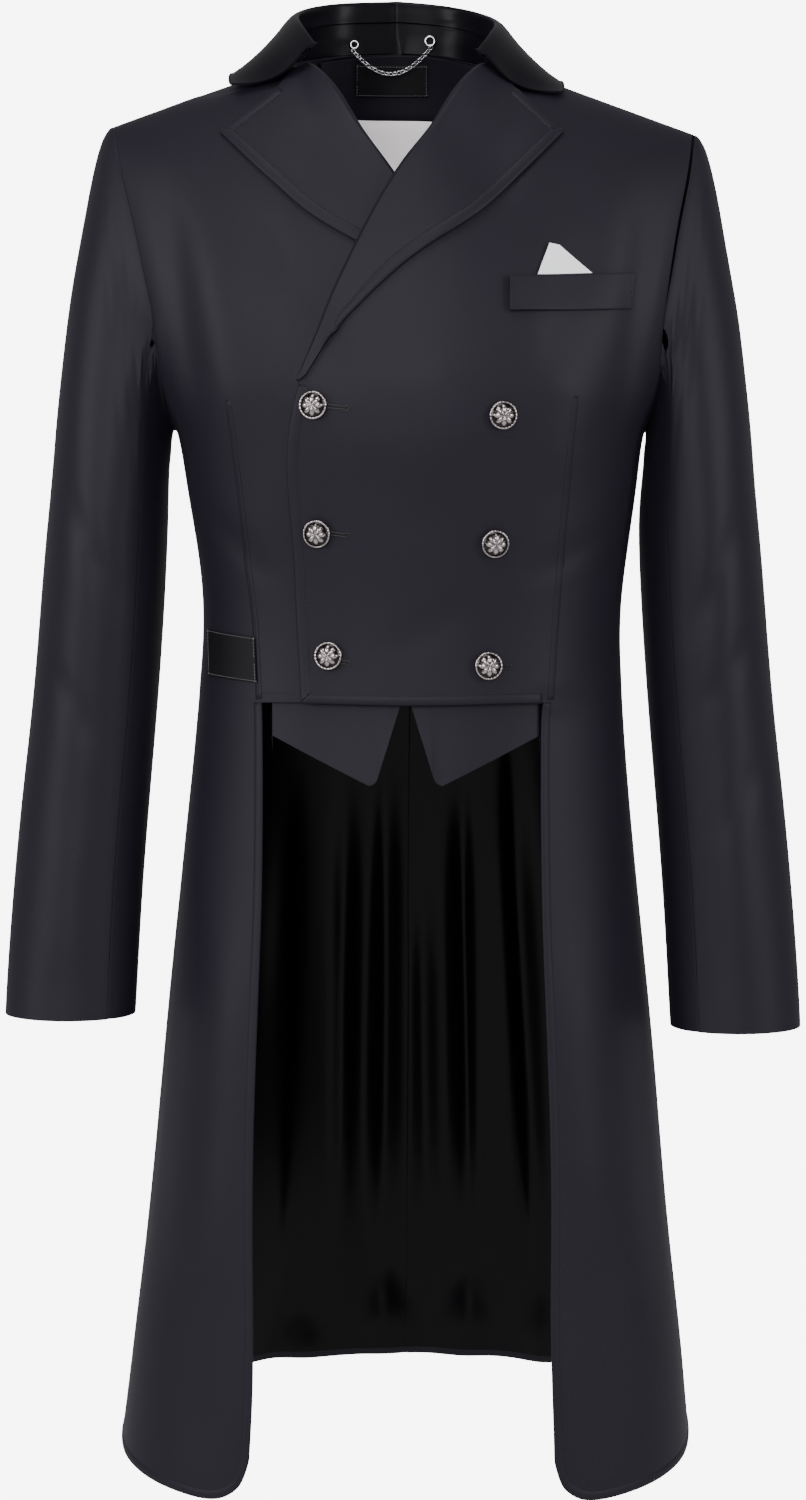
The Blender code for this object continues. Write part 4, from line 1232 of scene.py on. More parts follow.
def laid_strip(
    name: str,
    host: Cloth,
    points: np.ndarray,
    normals: np.ndarray,
    asides: np.ndarray,
    outline: tuple,
    mitres: tuple[float, float] = (0.0, 0.0),
    tapers: tuple[float, float] = (1.0, 1.0),
) -> bpy.types.Object:
    """A closed strip whose corners each follow the cloth under them.

    Args:
        name: Name of the new object.
        host: The cloth that it lies on.
        points: The run.
        normals: Directions out of the cloth.
        asides: Directions along the cloth, across the run.
        outline: Place aside and height of each corner of the closed outline.
        mitres: How far each end is cut back, against the place aside.
        tapers: Width at the start and at the end, against the usual one.

    Returns:
        The object.
    """
    along = lengths_along(points)
    reaches = (0.0, TAPER_REACH, along[-1] - TAPER_REACH, along[-1])
    width = np.interp(along, reaches, (tapers[0], 1.0, 1.0, tapers[1]))
    rings = []
    for aside, height in outline:
        if aside <= 0:
            rings.append(points + asides * aside + normals * height)
            continue
        spots = np.clip(along, aside * mitres[0], along[-1] - aside * mitres[1])
        start, sideways = (at_lengths(spots, along, values) for values in (points, asides))
        base, out = host.laid(start + sideways * (aside * width)[:, None])
        rings.append(base + out * height)
    return lofted(name, np.stack(rings, axis=1))


def asides_of(points: np.ndarray, normals: np.ndarray) -> np.ndarray:
    """Directions across a run of points, along the cloth."""
    return unit(np.cross(np.gradient(points, axis=0), normals))


def round_outline(radius: float) -> tuple[tuple[float, float], ...]:
    """Outline of a round thread: place aside and height of each corner."""
    turns = np.linspace(0, 2 * math.pi, THREAD_CORNERS + 1)[:-1]
    return tuple((math.cos(turn) * radius, math.sin(turn) * radius) for turn in turns)


@dataclass
class Stitching:
    """Rows of thread stitches, all of one cloth in one piece."""

    name: str
    host: Cloth
    finish: Finish = THREAD
    length: float = 0.0024
    gap: float = 0.0011
    radius: float = 0.00026
    rows: list[np.ndarray] = field(default_factory=list)

    def along_border(
        self, stretch: Border, inset: float, mitres: tuple[float, float] = (0.0, 0.0), end_share: float = 1.0
    ) -> None:
        """Add a row beside a stretch of the cloth's edge.

        Args:
            stretch: The stretch of edge.
            inset: Distance from the edge.
            mitres: How far each end is cut back, against the inset.
            end_share: Inset at the end, against the usual one.
        """
        along = lengths_along(stretch.points)
        kept = (along >= inset * mitres[0]) & (along <= along[-1] - inset * mitres[1])
        width = np.interp(along, (0.0, along[-1] - TAPER_REACH, along[-1]), (1.0, 1.0, end_share))
        self.rows.append((stretch.points + stretch.asides() * (inset * width)[:, None])[kept])

    def along_front(self, flat: tuple) -> None:
        """Add a row through places of the front view."""
        self.rows.append(self.host.seen_from_front(np.array(flat))[0])

    def build(self) -> bpy.types.Object:
        """Make every stitch of the rows as one piece.

        Returns:
            The piece.
        """
        bpy.ops.object.select_all(action="DESELECT")
        bpy.ops.mesh.primitive_uv_sphere_add(segments=6, ring_count=4, radius=1.0)
        ball = bpy.context.object
        shape = Bench.points_of(ball.data) * np.array([self.radius, self.radius, self.length / 2])
        corners = [tuple(polygon.vertices) for polygon in ball.data.polygons]
        bpy.data.objects.remove(ball, do_unlink=True)
        points, faces = [], []
        for row in self.rows:
            along = lengths_along(row)
            step = self.length + self.gap
            spots = np.arange(self.length / 2, along[-1] - self.length / 2, step)
            if not len(spots):
                continue
            places, normals = self.host.laid(at_lengths(spots, along, row), self.radius * STITCH_LIFT)
            run = np.gradient(places, axis=0) if len(places) > 1 else np.array([[0.0, 0.0, 1.0]])
            for place, normal, direction in zip(places, normals, run):
                along_z = Vector(direction).normalized()
                across = Vector(normal).cross(along_z).normalized()
                turn = np.array([across, along_z.cross(across), along_z])
                start = len(points) * len(shape)
                points.append(shape @ turn + place)
                faces.extend(tuple(start + corner for corner in face) for face in corners)
        piece = Bench.from_arrays(self.name, np.concatenate(points), faces)
        return self.host.trim(piece, self.finish, "cloth")


def rolled_edge(
    host: Cloth,
    name: str,
    stretch: Border,
    scale: float = 1.0,
    mitres: tuple[float, float] = (0.0, 0.0),
    tapers: tuple[float, float] = (1.0, 1.0),
) -> bpy.types.Object:
    """A turned and pressed edge that stands a little proud along a stretch of a cloth's border.

    Args:
        host: The cloth.
        name: Name of the new piece.
        stretch: The stretch of edge.
        scale: Its width against the usual one.
        mitres: How far each end is cut back, against the place aside.
        tapers: Width at the start and at the end, against the usual one.

    Returns:
        The piece.
    """
    outline = tuple((place * scale if place > EDGE_LIP else place, rise) for place, rise in EDGE_OUTLINE)
    asides = stretch.asides()
    piece = laid_strip(name, host, stretch.points, stretch.normals, asides, outline, mitres, tapers)
    return host.trim_in_kind(piece)


def add_threads(piece: bpy.types.Object) -> None:
    """Give a small piece a flat map in metres, seen from the front."""
    mesh = piece.data
    points = Bench.points_of(mesh)
    layer = mesh.uv_layers.new(name="threads")
    layer.data.foreach_set("uv", points[Bench.corners_of(mesh)][:, [0, 2]].ravel())


def dart(host: Cloth, name: str, flat: tuple, side: float, rise: float = 1.0) -> bpy.types.Object:
    """A sewn dart whose fold is pressed to one side.

    Args:
        host: The front that it is in.
        name: Name of the new piece.
        flat: Places across and heights, from the top down.
        side: 1 or -1, the side that its fold is pressed to.
        rise: Its height against the usual one.

    Returns:
        The piece.
    """
    rows = np.array(flat)
    heights = np.linspace(rows[0, 1], rows[-1, 1], DART_STEPS)
    across = np.interp(-heights, -rows[:, 1], rows[:, 0])
    places, normals = host.seen_from_front(np.stack([across, heights], axis=1))
    share = np.linspace(0.0, 1.0, len(places))[:, None]
    aside = asides_of(places, normals)
    aside *= np.sign(aside[len(aside) // 2, 0]) * side
    fade = smooth_step(share / DART_FADE)
    places = places - normals * DART_SINK * (1 - fade)
    outline = tuple((place, height * rise if height > 0 else height) for place, height in DART_OUTLINE)
    piece = laid_strip(name, host, places, normals, aside, outline)
    return host.trim_in_kind(piece)


@dataclass
class Buttonhole:
    """A worked buttonhole: a cut edged with close thread, with a round eye at its outer end."""

    name: str
    host: Cloth
    start: tuple[float, float]
    end: tuple[float, float]
    half_width: float = 0.0011
    eye: float = 0.0017
    radius: float = 0.00055
    eye_turn: float = 2.5
    cut_share: float = 0.75
    steps: int = 160
    swelling: float = 0.18

    def build(self) -> bpy.types.Object:
        """Make the thread round the cut.

        Returns:
            The piece.
        """
        start, end = np.array(self.start), np.array(self.end)
        run = (end - start) / np.linalg.norm(end - start)
        across = np.array([-run[1], run[0]])
        length = np.linalg.norm(end - start)
        outline = []
        for turn in np.linspace(-self.eye_turn, self.eye_turn, 22):
            outline.append(end + (run * (math.cos(turn) - 1) + across * math.sin(turn)) * self.eye)
        for share in np.linspace(self.cut_share, 0.0, 24):
            outline.append(start + run * length * share + across * self.half_width)
        for share in np.linspace(0.0, self.cut_share, 24):
            outline.append(start + run * length * share - across * self.half_width)
        outline.append(outline[0])
        places, normals = self.host.seen_from_front(np.array(outline), self.radius * EDGING_LIFT)
        along = lengths_along(places)
        spots = np.linspace(0.0, along[-1], self.steps)
        places, normals = (at_lengths(spots, along, values) for values in (places, normals))
        swell = 1 + self.swelling * np.cos(np.arange(len(places)) * math.pi)[:, None]
        asides = asides_of(places, normals) * swell
        piece = swept(self.name, places, normals * swell, asides, round_outline(self.radius))
        return self.host.trim(piece, THREAD, "cloth")


# Metal


@dataclass
class DomedButton:
    """A domed shank button with a raised rim, a rope edge and a plain rosette."""

    radius: float = 0.0107
    sides: int = 96
    petals: int = 8
    petal_start: float = 0.0014
    petal_reach: float = 0.0076
    petal_height: float = 0.00075
    boss_radius: float = 0.0019
    boss_height: float = 0.00050
    ropes: int = 24
    rope_radius: float = 0.0097
    rope_width: float = 0.0006
    rope_height: float = 0.00020
    brow: float = 0.0008
    foot: float = 0.0036
    outline: tuple[tuple[float, float], ...] = (
        (0.0018, 0.0000),
        (0.0018, 0.0018),
        (0.0060, 0.0019),
        (0.0103, 0.0024),
        (0.0107, 0.0030),
        (0.0106, 0.0038),
        (0.0101, 0.0043),
        (0.0096, 0.0044),
        (0.0092, 0.0041),
        (0.0090, 0.0042),
        (0.0086, 0.0047),
        (0.0079, 0.0052),
        (0.0070, 0.0056),
        (0.0060, 0.0060),
        (0.0050, 0.0063),
        (0.0040, 0.0065),
        (0.0030, 0.0067),
        (0.0020, 0.0068),
        (0.0010, 0.0069),
    )

    def model(self) -> bpy.types.Mesh:
        """Raise the button ring by ring from its shank.

        Returns:
            Its mesh, standing on the origin.
        """
        bpy.ops.object.select_all(action="DESELECT")
        first_radius, first_height = self.outline[0]
        bpy.ops.mesh.primitive_circle_add(
            vertices=self.sides, radius=first_radius, fill_type="NGON", location=(0, 0, first_height)
        )
        button = bpy.context.object
        bpy.ops.object.mode_set(mode="EDIT")
        bpy.ops.mesh.select_all(action="SELECT")
        for (radius, height), (wider, higher) in zip(self.outline, self.outline[1:]):
            bpy.ops.mesh.extrude_region_move(
                TRANSFORM_OT_translate={"value": (0.0, 0.0, higher - height)}
            )
            bpy.ops.transform.resize(value=(wider / radius, wider / radius, 1.0))
        bpy.ops.mesh.merge(type="CENTER")
        bpy.ops.mesh.select_all(action="SELECT")
        bpy.ops.mesh.normals_make_consistent(inside=False)
        bpy.ops.object.mode_set(mode="OBJECT")
        mesh = button.data
        plain = Bench.points_of(mesh)
        raised = self.relief(plain)
        Bench.move_points(mesh, raised)
        # Share of each point kept out of the painted shade of the hollows, read by the gunmetal finish
        out_of_painted_shade = mesh.attributes.new("out_of_painted_shade", "FLOAT", "POINT")
        out_of_painted_shade.data.foreach_set("value", self.out_of_painted_shade(plain, raised))
        mesh.shade_smooth()
        mesh = mesh.copy()
        bpy.data.objects.remove(button, do_unlink=True)
        return mesh

    def relief(self, points: np.ndarray) -> np.ndarray:
        """Raise the rosette on the dome and twist the rope round its edge.

        Args:
            points: Points of the plain button.

        Returns:
            The raised points.
        """
        reach = np.hypot(points[:, 0], points[:, 1])
        turn = np.arctan2(points[:, 1], points[:, 0])
        petal = np.abs(np.cos(turn * self.petals / 2)) ** 0.7
        petal_end = self.petal_reach * (0.6 + 0.4 * petal)
        band = smooth_step((reach - self.petal_start) / 0.0012) * smooth_step((petal_end - reach) / self.brow)
        boss = self.boss_height * smooth_step((self.boss_radius - reach) / self.brow)
        ridge = np.exp(-(((reach - self.rope_radius) / self.rope_width) ** 2))
        rope = self.rope_height * np.cos(turn * self.ropes) * ridge
        raised = points.copy()
        on_top = points[:, 2] > self.foot
        raised[:, 2] += np.where(on_top, self.petal_height * petal * band + boss + rope, 0.0)
        return raised

    def out_of_painted_shade(self, plain: np.ndarray, raised: np.ndarray) -> np.ndarray:
        """How far each point stays out of the painted shade: the raised work and the rim do, and the hollows
        are painted dark.

        Args:
            plain: Points of the plain button.
            raised: The raised points.

        Returns:
            A share for each point.
        """
        reach = np.hypot(plain[:, 0], plain[:, 1])
        work = np.clip((raised[:, 2] - plain[:, 2]) / 0.0006, 0.0, 1.0)
        rim = np.clip(1 - np.abs(reach - 0.0099) / 0.0009, 0.0, 1.0)
        return np.clip(0.12 + work + rim, 0.0, 1.0)

    def place(self, name: str, base: bpy.types.Mesh) -> bpy.types.Object:
        """Put a copy where a button's solid is.

        Args:
            name: The solid's name.
            base: The modelled button.

        Returns:
            The placed button.
        """
        solid = np.array([vertex.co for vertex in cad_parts[name].data.vertices])
        centre = solid.mean(axis=0)
        _sizes, _values, axes = np.linalg.svd(solid - centre, full_matrices=False)
        axis = axes[2] * np.sign(axes[2] @ outward(Region.BODY, centre[None])[0])
        foot = centre + axis * ((solid - centre) @ axis).min()
        shift = settled(Region.BODY, foot[None])[0] - foot
        across = np.cross([0.0, 0.0, 1.0], axis)
        across /= np.linalg.norm(across)
        turn = np.stack([across, np.cross(axis, across), axis])
        mesh = base.copy()
        Bench.move_points(mesh, Bench.points_of(mesh) @ turn + foot + shift)
        piece = Bench.link(f"{name}_metal", mesh)
        return Bench.finish(piece, GUNMETAL, "gunmetal", (name,))


@dataclass
class HangerChain:
    """A curb chain between its two fixings, link by link."""

    pitch: float = 0.0032
    link_radius: float = 0.0021
    wire: float = 0.00045
    ring_radius: float = 0.0036
    ring_wire: float = 0.0009
    end_gap: float = 0.0006
    narrowing: float = 0.72
    twist: float = 40.0
    staple: tuple[float, float, float] = (0.8, 0.8, 0.9)

    def torus(self, major: float, minor: float, around: int, across: int) -> tuple[np.ndarray, list]:
        """Points and faces of a ring.

        Args:
            major: Radius of the ring.
            minor: Radius of its wire.
            around: Steps round the ring.
            across: Steps round the wire.

        Returns:
            Points and faces.
        """
        bpy.ops.object.select_all(action="DESELECT")
        bpy.ops.mesh.primitive_torus_add(
            major_radius=major, minor_radius=minor, major_segments=around, minor_segments=across
        )
        ring = bpy.context.object
        points = Bench.points_of(ring.data)
        faces = [tuple(polygon.vertices) for polygon in ring.data.polygons]
        bpy.data.objects.remove(ring, do_unlink=True)
        return points, faces

    def centre_line(self) -> np.ndarray:
        """The chain's own line, read through its solid's length."""
        solid = Bench.points_of(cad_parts["hanger_chain"].data)
        across = np.linspace(solid[:, 0].min(), solid[:, 0].max(), 200)
        depth, height = (
            np.polyval(np.polyfit(solid[:, 0], solid[:, axis], 4), across) for axis in (1, 2)
        )
        return np.stack([across, depth, height], axis=1)

    def build(self) -> None:
        """Make the links, the ring and the staple."""
        line = self.centre_line()
        along = lengths_along(line)
        count = round(along[-1] / self.pitch)
        spots = np.linspace(self.end_gap, along[-1] - self.end_gap, count)
        places = at_lengths(spots, along, line)
        runs = np.gradient(places, axis=0)
        shape, corners = self.torus(self.link_radius, self.wire, 18, 8)
        shape = shape * np.array([1.0, self.narrowing, 1.0])
        points, faces = [], []
        for number, (place, run) in enumerate(zip(places, runs)):
            forward = run / np.linalg.norm(run)
            side = np.cross([0.0, 1.0, 0.0], forward)
            side /= np.linalg.norm(side)
            normal = np.cross(forward, side)
            turn = math.radians(self.twist if number % 2 else -self.twist)
            across = side * math.cos(turn) + normal * math.sin(turn)
            start = number * len(shape)
            points.append(shape @ np.stack([forward, across, np.cross(forward, across)]) + place)
            faces.extend(tuple(start + corner for corner in face) for face in corners)
        chain = Bench.from_arrays("hanger_chain_links", np.concatenate(points), faces)
        Bench.finish(chain, STEEL, "steel", ("hanger_chain",))
        for name in ("chain_ring", "chain_staple"):
            solid = Bench.points_of(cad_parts[name].data)
            centre = (solid.min(axis=0) + solid.max(axis=0)) / 2
            shape, corners = self.torus(self.ring_radius, self.ring_wire, 40, 12)
            if name == "chain_staple":
                shape = shape * np.array(self.staple)
            turned = shape[:, [0, 2, 1]] * np.array([1.0, -1.0, 1.0])
            ring = Bench.from_arrays(f"{name}_metal", turned + centre, corners)
            Bench.finish(ring, STEEL, "steel", (name,))


# Coat


def seams() -> list[tuple[str, str]]:
    """The pairs of pieces that are sewn edge to edge."""
    pairs = [
        ("back_left", "back_right"),
        ("tail_back_left", "tail_back_right"),
        ("tail_lining_left", "tail_lining_right"),
        ("back_lining_left", "back_lining_right"),
    ]
    for side in ("left", "right"):
        front, back = f"front_{side}", f"back_{side}"
        top, under = f"top_sleeve_{side}", f"under_sleeve_{side}"
        pairs += [(front, back), (front, top), (front, under), (back, top), (back, under), (top, under)]
        pairs += [(front, f"tail_front_{side}"), (back, f"tail_back_{side}")]
        pairs += [(back, f"tail_front_{side}"), (f"tail_front_{side}", f"tail_back_{side}")]
        pairs += [("collar_stand", back), ("neck_facing", f"back_lining_{side}")]
    return pairs


def stretches_of(close: np.ndarray) -> list[list[int]]:
    """The unbroken stretches of a closed run in which something holds.

    Args:
        close: Whether it holds, for each point of the run.

    Returns:
        Point numbers of each stretch, or nothing if it holds all round.
    """
    if close.all():
        return []
    stretches: list[list[int]] = []
    run: list[int] = []
    for number in [*np.roll(np.arange(len(close)), -int(np.argmin(close))), None]:
        if number is not None and close[number]:
            run.append(int(number))
        elif run:
            stretches.append(run)
            run = []
    return stretches


def back_seam(first: Cloth, second: Cloth) -> None:
    """Lay the turned-in cloth under a seam, so that nothing shows through it.

    Args:
        first: One piece.
        second: The piece that it is sewn to.
    """
    one, two = first.border.even(SEAM_STEP), second.border.even(SEAM_STEP / 2)
    tree = tree_of(two.points)
    found = [tree.find(point) for point in one.points]
    close = np.array([distance < SEAM_OPEN for _near, _number, distance in found])
    partners = np.array([number for _near, number, _distance in found])
    runs = [run for run in stretches_of(close) if len(run) > SEAM_FEWEST]
    for number, run in enumerate(runs):
        rings = []
        for border, places in ((one, run), (two, partners[run])):
            edge = border.points[places] - border.normals[places] * SEAM_SINK
            deep = edge + border.inwards[places] * SEAM_TUCK - border.normals[places] * SEAM_SLOPE
            rings.append((deep, edge, border.normals[places]))
        (deep_one, edge_one, out_one), (deep_two, edge_two, out_two) = rings
        top = [deep_one, edge_one, edge_two, deep_two]
        under = [
            deep_two - out_two * SEAM_THICK,
            edge_two - out_two * SEAM_THICK,
            edge_one - out_one * SEAM_THICK,
            deep_one - out_one * SEAM_THICK,
        ]
        name = f"seam_{first.node}_{second.node}_{number}"
        piece = lofted(name, np.stack(top + under, axis=1))
        first.trim_in_kind(piece)


@dataclass
class Coat:
    """The whole tailcoat."""

    cloths: dict[str, Cloth] = field(default_factory=dict)

    def add(self, node_name: str, **facts: object) -> Cloth:
        """Build one cloth piece and keep it.

        Args:
            node_name: The solid that it stands for.
            facts: What the piece's class is given.

        Returns:
            The piece.
        """
        cloth = Cloth(node=node_name, **facts).shape()
        self.cloths[node_name] = cloth
        return cloth

    def build_panels(self) -> None:
        """Make every cloth panel."""
        suiting = {"finish": SUITING, "slot": "cloth"}
        sleeves = {"left": Region.LEFT_SLEEVE, "right": Region.RIGHT_SLEEVE}
        for side, sign in (("left", 1.0), ("right", -1.0)):
            self.add(f"front_{side}", cut=Cut(0.340, 0.500, 0.142), levels=3, overlaps=True, **suiting)
            self.add(f"back_{side}", cut=Cut(0.260, 0.505, 0.112), **suiting)
            low_edge = tuple(sorted((sign * place + POINT_LEAN, height) for place, height in POINT_LINE))
            point = {"cut": Cut(0.105, 0.090, 0.0072), "low_edge": low_edge, "levels": 3}
            self.add(f"waistcoat_point_{side}", **point, **suiting)
            self.add(f"tail_front_{side}", cut=Cut(0.215, 0.612, 0.098), levels=3, **suiting)
            self.add(f"tail_back_{side}", cut=Cut(0.365, 0.600, 0.175), **suiting)
            self.add(
                f"tail_lining_{side}",
                finish=SATIN,
                slot="satin",
                cut=Cut(0.540, 0.605, 0.253),
                extra_folds=LINING_FOLDS,
                levels=3,
                seen_inside=True,
            )
            region = sleeves[side]
            self.add(f"top_sleeve_{side}", cut=Cut(0.250, 0.700, 0.145), region=region, levels=3, **suiting)
            self.add(f"under_sleeve_{side}", cut=Cut(0.125, 0.540, 0.052), region=region, **suiting)
            self.add(f"lapel_{side}", cut=Cut(0.130, 0.260, 0.0162), levels=3, held="folded", **suiting)
            self.add(
                f"back_lining_{side}",
                finish=PALE_LINING,
                slot="pale_lining",
                cut=Cut(0.230, 0.480, 0.096),
                seen_inside=True,
            )
        sateen = {"finish": SATEEN, "slot": "sateen", "region": Region.COLLAR}
        self.add("collar_stand", cut=Cut(0.330, 0.030, 0.0077), **sateen)
        self.add("collar_leaf", cut=Cut(0.460, 0.095, 0.0324), levels=3, held="folded", **sateen)
        self.add("neck_facing", cut=Cut(0.150, 0.060, 0.0073), seen_inside=True, **suiting)
        self.add("pocket_welt", cut=Cut(0.101, 0.032, 0.0031), **suiting)
        cotton = {"finish": WHITE_COTTON, "slot": "white_cotton"}
        self.add("pocket_square", cut=Cut(0.044, 0.024, 0.0007), held="folded", **cotton)
        label = {"finish": LABEL, "slot": "label"}
        self.add("neck_label", cut=Cut(0.060, 0.025, 0.0015), seen_inside=True, **label)
        self.add("hip_patch", cut=Cut(0.056, 0.038, 0.0021), **label)

    def sew(self) -> None:
        """Add rolled edges, stitches, darts and buttonholes."""
        for side, sign in (("left", 1.0), ("right", -1.0)):
            self.sew_lapel(side, sign)
            self.sew_skirt(side, sign)
        self.sew_fronts()
        self.sew_labels()
        self.sew_collar()

    def sew_lapel(self, side: str, sign: float) -> None:
        """Roll and stitch a lapel's outer edge and its notch."""
        cloth = self.cloths[f"lapel_{side}"]
        peak = cloth.border.farthest((sign, 0.0, 0.0))
        notch = (sign * 0.0890 + COAT_LEAN, -0.0210)
        bottom = (sign * -0.0610, -0.2145)
        edge = cloth.border.between(peak, (sign * 0.019, -0.1433), bottom)
        top = cloth.border.between(notch, (sign * 0.108 + COAT_LEAN, -0.037), peak)
        rolled_edge(cloth, f"lapel_{side}_edge", edge, mitres=(1.0, 0.0), tapers=(1.0, 0.35))
        rolled_edge(cloth, f"lapel_{side}_top", top, mitres=(0.0, 1.0))
        stitches = Stitching(f"lapel_{side}_stitches", cloth)
        stitches.along_border(edge, STITCH_INSET, (1.0, 0.5), 0.4)
        stitches.along_border(top, STITCH_INSET, (0.0, 1.0))
        stitches.build()

    def sew_skirt(self, side: str, sign: float) -> None:
        """Roll a skirt's front edge and hem."""
        cloth = self.cloths[f"tail_front_{side}"]
        edge = cloth.border.between(
            (sign * 0.105, -0.11, -0.482), (sign * 0.112, -0.14, -0.80), (sign * 0.225, 0.0, -1.075)
        )
        rolled_edge(cloth, f"tail_front_{side}_edge", edge, 0.8)
        back = self.cloths[f"tail_back_{side}"]
        hem = back.border.between(
            (sign * 0.225, 0.0, -1.072), (sign * 0.13, 0.18, -1.067), (sign * 0.003, 0.217, -1.066)
        )
        rolled_edge(back, f"tail_back_{side}_hem", hem, 0.8)

    def sew_fronts(self) -> None:
        """Stitch the fronts' edges, and add darts and buttonholes."""
        over, under = self.cloths["front_left"], self.cloths["front_right"]
        corner = over.border.farthest((-1.0, 0.0, -2.0))
        edge = over.border.between((-0.078, -0.243), (-0.083, -0.38), corner)
        waist = over.border.between(corner, (0.02, -0.483), (0.104, -0.483))
        rolled_edge(over, "front_left_edge", edge, mitres=(0.0, 1.0))
        rolled_edge(over, "front_left_waist", waist, 0.8, mitres=(1.0, 0.0))
        stitches = Stitching("front_left_stitches", over)
        stitches.along_border(edge, STITCH_INSET, (0.0, 1.0))
        stitches.along_border(waist, STITCH_INSET * 0.8, (1.0, 0.0))
        stitches.build()
        low = under.border.between((-0.076, -0.483), (-0.090, -0.483), (-0.106, -0.483))
        under_stitches = Stitching("front_right_stitches", under)
        under_stitches.along_border(low, 0.0072)
        under_stitches.build()
        fold = ((0.1266, -0.2513), (0.1223, -0.2991), (0.1133, -0.4177), (0.1094, -0.4800))
        dart(over, "dart_left", fold, 1.0)
        fold = (
            (-0.1288, -0.2543),
            (-0.1194, -0.3395),
            (-0.1151, -0.3816),
            (-0.1100, -0.4215),
            (-0.1071, -0.4800),
        )
        dart(under, "dart_right", fold, -1.0)
        pleat = ((-0.0105, -0.0660), (-0.0065, -0.2400))
        dart(self.cloths["back_lining_right"], "back_lining_pleat", pleat, -1.0, rise=4.5)
        holes = (
            ("buttonhole_edge_1", (-0.0620, -0.2583), (-0.0400, -0.2606)),
            ("buttonhole_edge_2", (-0.0600, -0.3533), (-0.0405, -0.3552)),
            ("buttonhole_edge_3", (-0.0590, -0.4475), (-0.0400, -0.4515)),
            ("buttonhole_inner_3", (0.0640, -0.4535), (0.0815, -0.4545)),
        )
        for name, start, end in holes:
            Buttonhole(name, over, start, end).build()

    def sew_labels(self) -> None:
        """Stitch round the bare labels and the pocket welt's ends."""
        for name in ("neck_label", "hip_patch"):
            cloth = self.cloths[name]
            stitches = Stitching(
                f"{name}_stitches", cloth, finish=PALE_THREAD, length=0.0016, gap=0.0009, radius=0.00022
            )
            stitches.along_border(cloth.border, LABEL_INSET)
            stitches.build()
        welt = self.cloths["pocket_welt"]
        stitches = Stitching("pocket_welt_stitches", welt, length=0.0020, gap=0.0010)
        points = welt.border.points
        low, high = points[:, 0].min(), points[:, 0].max()
        for across in (low + 0.0030, high - 0.0038):
            near = points[np.abs(points[:, 0] - across) < 0.006]
            stitches.along_front(((across, near[:, 2].min() + 0.002), (across, near[:, 2].max() - 0.002)))
        stitches.build()

    def sew_collar(self) -> None:
        """Run the black piping round the collar leaf's edge."""
        leaf = self.cloths["collar_leaf"]
        tips = (leaf.border.farthest((side, -0.3, -0.6)) for side in (1.0, -1.0))
        edge = leaf.border.between(next(tips), leaf.border.farthest((0.0, 1.0, -0.3)), next(tips))
        asides = asides_of(edge.points, edge.normals)
        outline = round_outline(PIPING_RADIUS)
        piece = swept("collar_piping", edge.points, edge.normals, asides, outline)
        leaf.trim(piece, PIPING, "sateen")

    def join(self) -> None:
        """Draw the pieces together along their seams, dress them and back the seams."""
        pulls: dict[str, list[Border]] = {name: [] for name in self.cloths}
        for first, second in seams():
            pulls[first].append(self.cloths[second].border)
            pulls[second].append(self.cloths[first].border)
        for name, partners in pulls.items():
            if partners:
                self.cloths[name].draw_in(partners)
        for cloth in self.cloths.values():
            cloth.dress()
        for first, second in seams():
            back_seam(self.cloths[first], self.cloths[second])

    def build(self) -> None:
        """Build the coat, piece by piece."""
        self.build_panels()
        self.join()
        self.sew()
        for cloth in self.cloths.values():
            cloth.declare()
        button = DomedButton()
        base = button.model()
        for column in ("edge", "inner"):
            for row in (1, 2, 3):
                button.place(f"button_{column}_{row}", base)
        HangerChain().build()


# Studio

# Name, place, aim, width and height, and watts of each light
SOFT_BOXES = (
    ("left_box", (-2.5, -1.5, 0.3), (0.0, 0.0, -0.25), (1.0, 1.7), 44.0),
    ("right_box", (2.5, -1.5, 0.3), (0.0, 0.0, -0.25), (1.0, 1.7), 40.0),
    ("front_box", (-0.4, -3.0, 0.5), (0.0, 0.0, -0.45), (1.5, 1.3), 46.0),
    ("top_box", (-0.2, -1.1, 2.1), (0.0, 0.1, -0.1), (1.4, 1.0), 26.0),
)


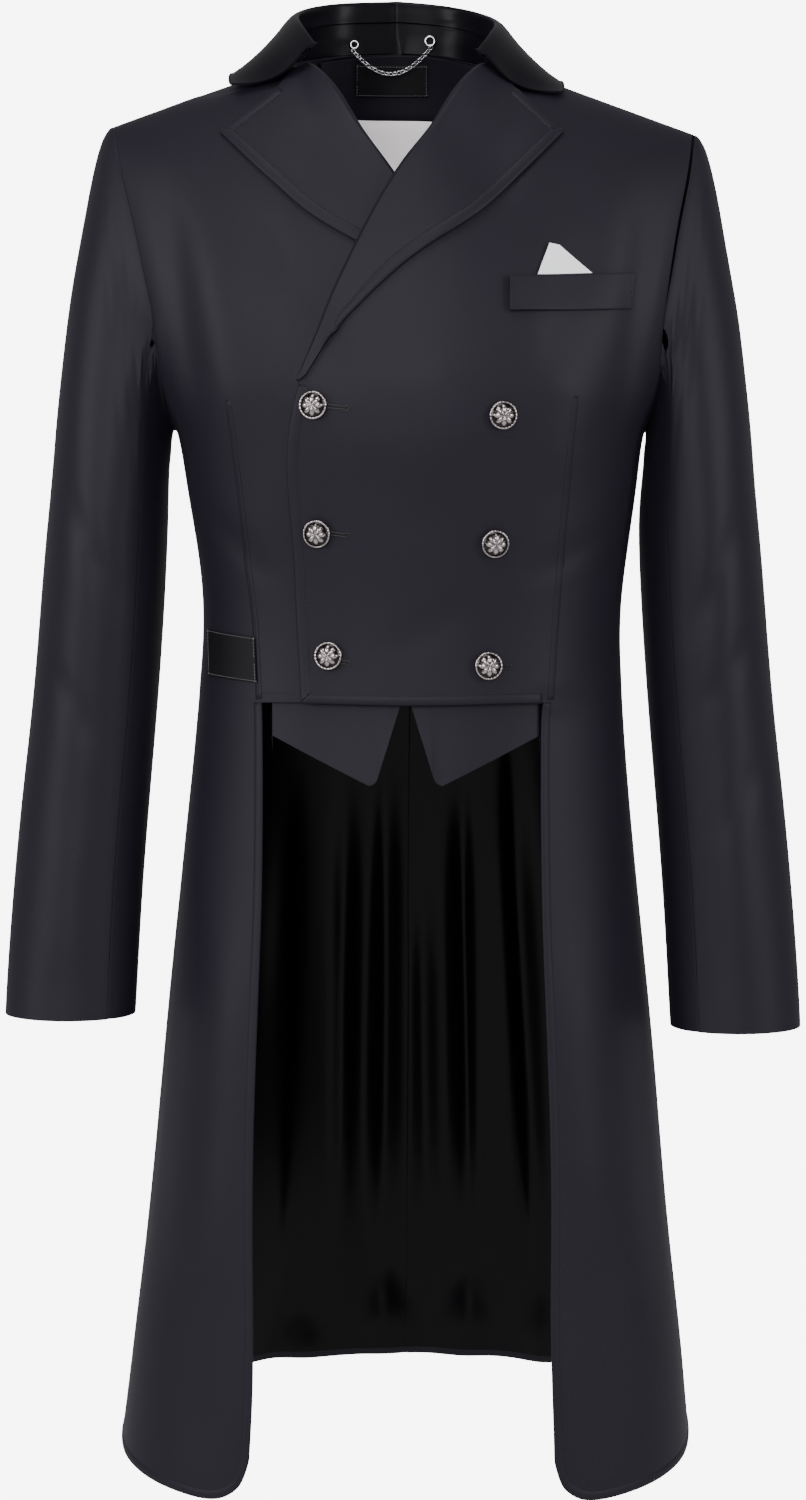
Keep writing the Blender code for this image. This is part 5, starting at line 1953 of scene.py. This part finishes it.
@dataclass
class Studio:
    """Camera, lights and floor."""

    lens: float = 88.99
    eye: tuple[float, float, float] = (0.0, -2.9, -0.2656)
    tilt: float = 5.16
    floor: float = -1.45
    paper_size: float = 60.0
    burnt_out: float = 7.0
    room_light: float = 0.30

    def camera(self) -> None:
        """Stand the camera where the photograph was taken from."""
        data = bpy.data.cameras.new("camera")
        data.lens = self.lens
        data.sensor_width = 36.0
        camera = bpy.data.objects.new("camera", data)
        camera.location = self.eye
        camera.rotation_euler = (math.radians(90 - self.tilt), 0.0, 0.0)
        bpy.context.scene.collection.objects.link(camera)
        bpy.context.scene.camera = camera

    def light(self, name: str, place: tuple, aim: tuple, size: tuple, power: float) -> None:
        """Add a soft box.

        Args:
            name: Its name.
            place: Where it stands.
            aim: The point that it looks at.
            size: Width and height.
            power: Watts.
        """
        data = bpy.data.lights.new(name, "AREA")
        data.shape = "RECTANGLE"
        data.size, data.size_y = size
        data.energy = power
        lamp = bpy.data.objects.new(name, data)
        lamp.location = place
        direction = Vector(aim) - Vector(place)
        lamp.rotation_euler = direction.to_track_quat("-Z", "Y").to_euler()
        bpy.context.scene.collection.objects.link(lamp)

    def paper(self) -> None:
        """Lay a wide pale paper on the floor."""
        bpy.ops.object.select_all(action="DESELECT")
        bpy.ops.mesh.primitive_plane_add(size=self.paper_size, location=(0.0, 0.0, 0.0))
        paper = bpy.context.object
        paper.name = "floor_paper"
        points = Bench.points_of(paper.data)
        points[:, 2] = self.floor
        Bench.move_points(paper.data, points)
        finish = PaperFinish("paper", (0.80, 0.80, 0.81), 0.9, specular=0.1, brightness=self.burnt_out)
        paper.data.materials.append(finish.material())

    def world(self) -> None:
        """Fill the room with a pale light, burnt out to white for the camera."""
        world = bpy.data.worlds.new("room")
        world.use_nodes = True
        tree = world.node_tree
        light = tree.nodes["Background"]
        light.inputs["Color"].default_value = (1.0, 1.0, 1.0, 1.0)
        path = tree.nodes.new("ShaderNodeLightPath")
        strength = node(tree, "ShaderNodeMath")
        strength.operation = "MULTIPLY_ADD"
        strength.inputs[1].default_value = self.burnt_out
        strength.inputs[2].default_value = self.room_light
        tree.links.new(path.outputs["Is Camera Ray"], strength.inputs[0])
        tree.links.new(strength.outputs[0], light.inputs["Strength"])
        bpy.context.scene.world = world

    def build(self) -> None:
        """Set up the studio."""
        self.camera()
        self.paper()
        self.world()
        for name, place, aim, size, power in SOFT_BOXES:
            self.light(name, place, aim, size, power)


def main() -> None:
    """Build the coat and its studio."""
    Coat().build()
    Studio().build()


if __name__ == "__main__":
    main()
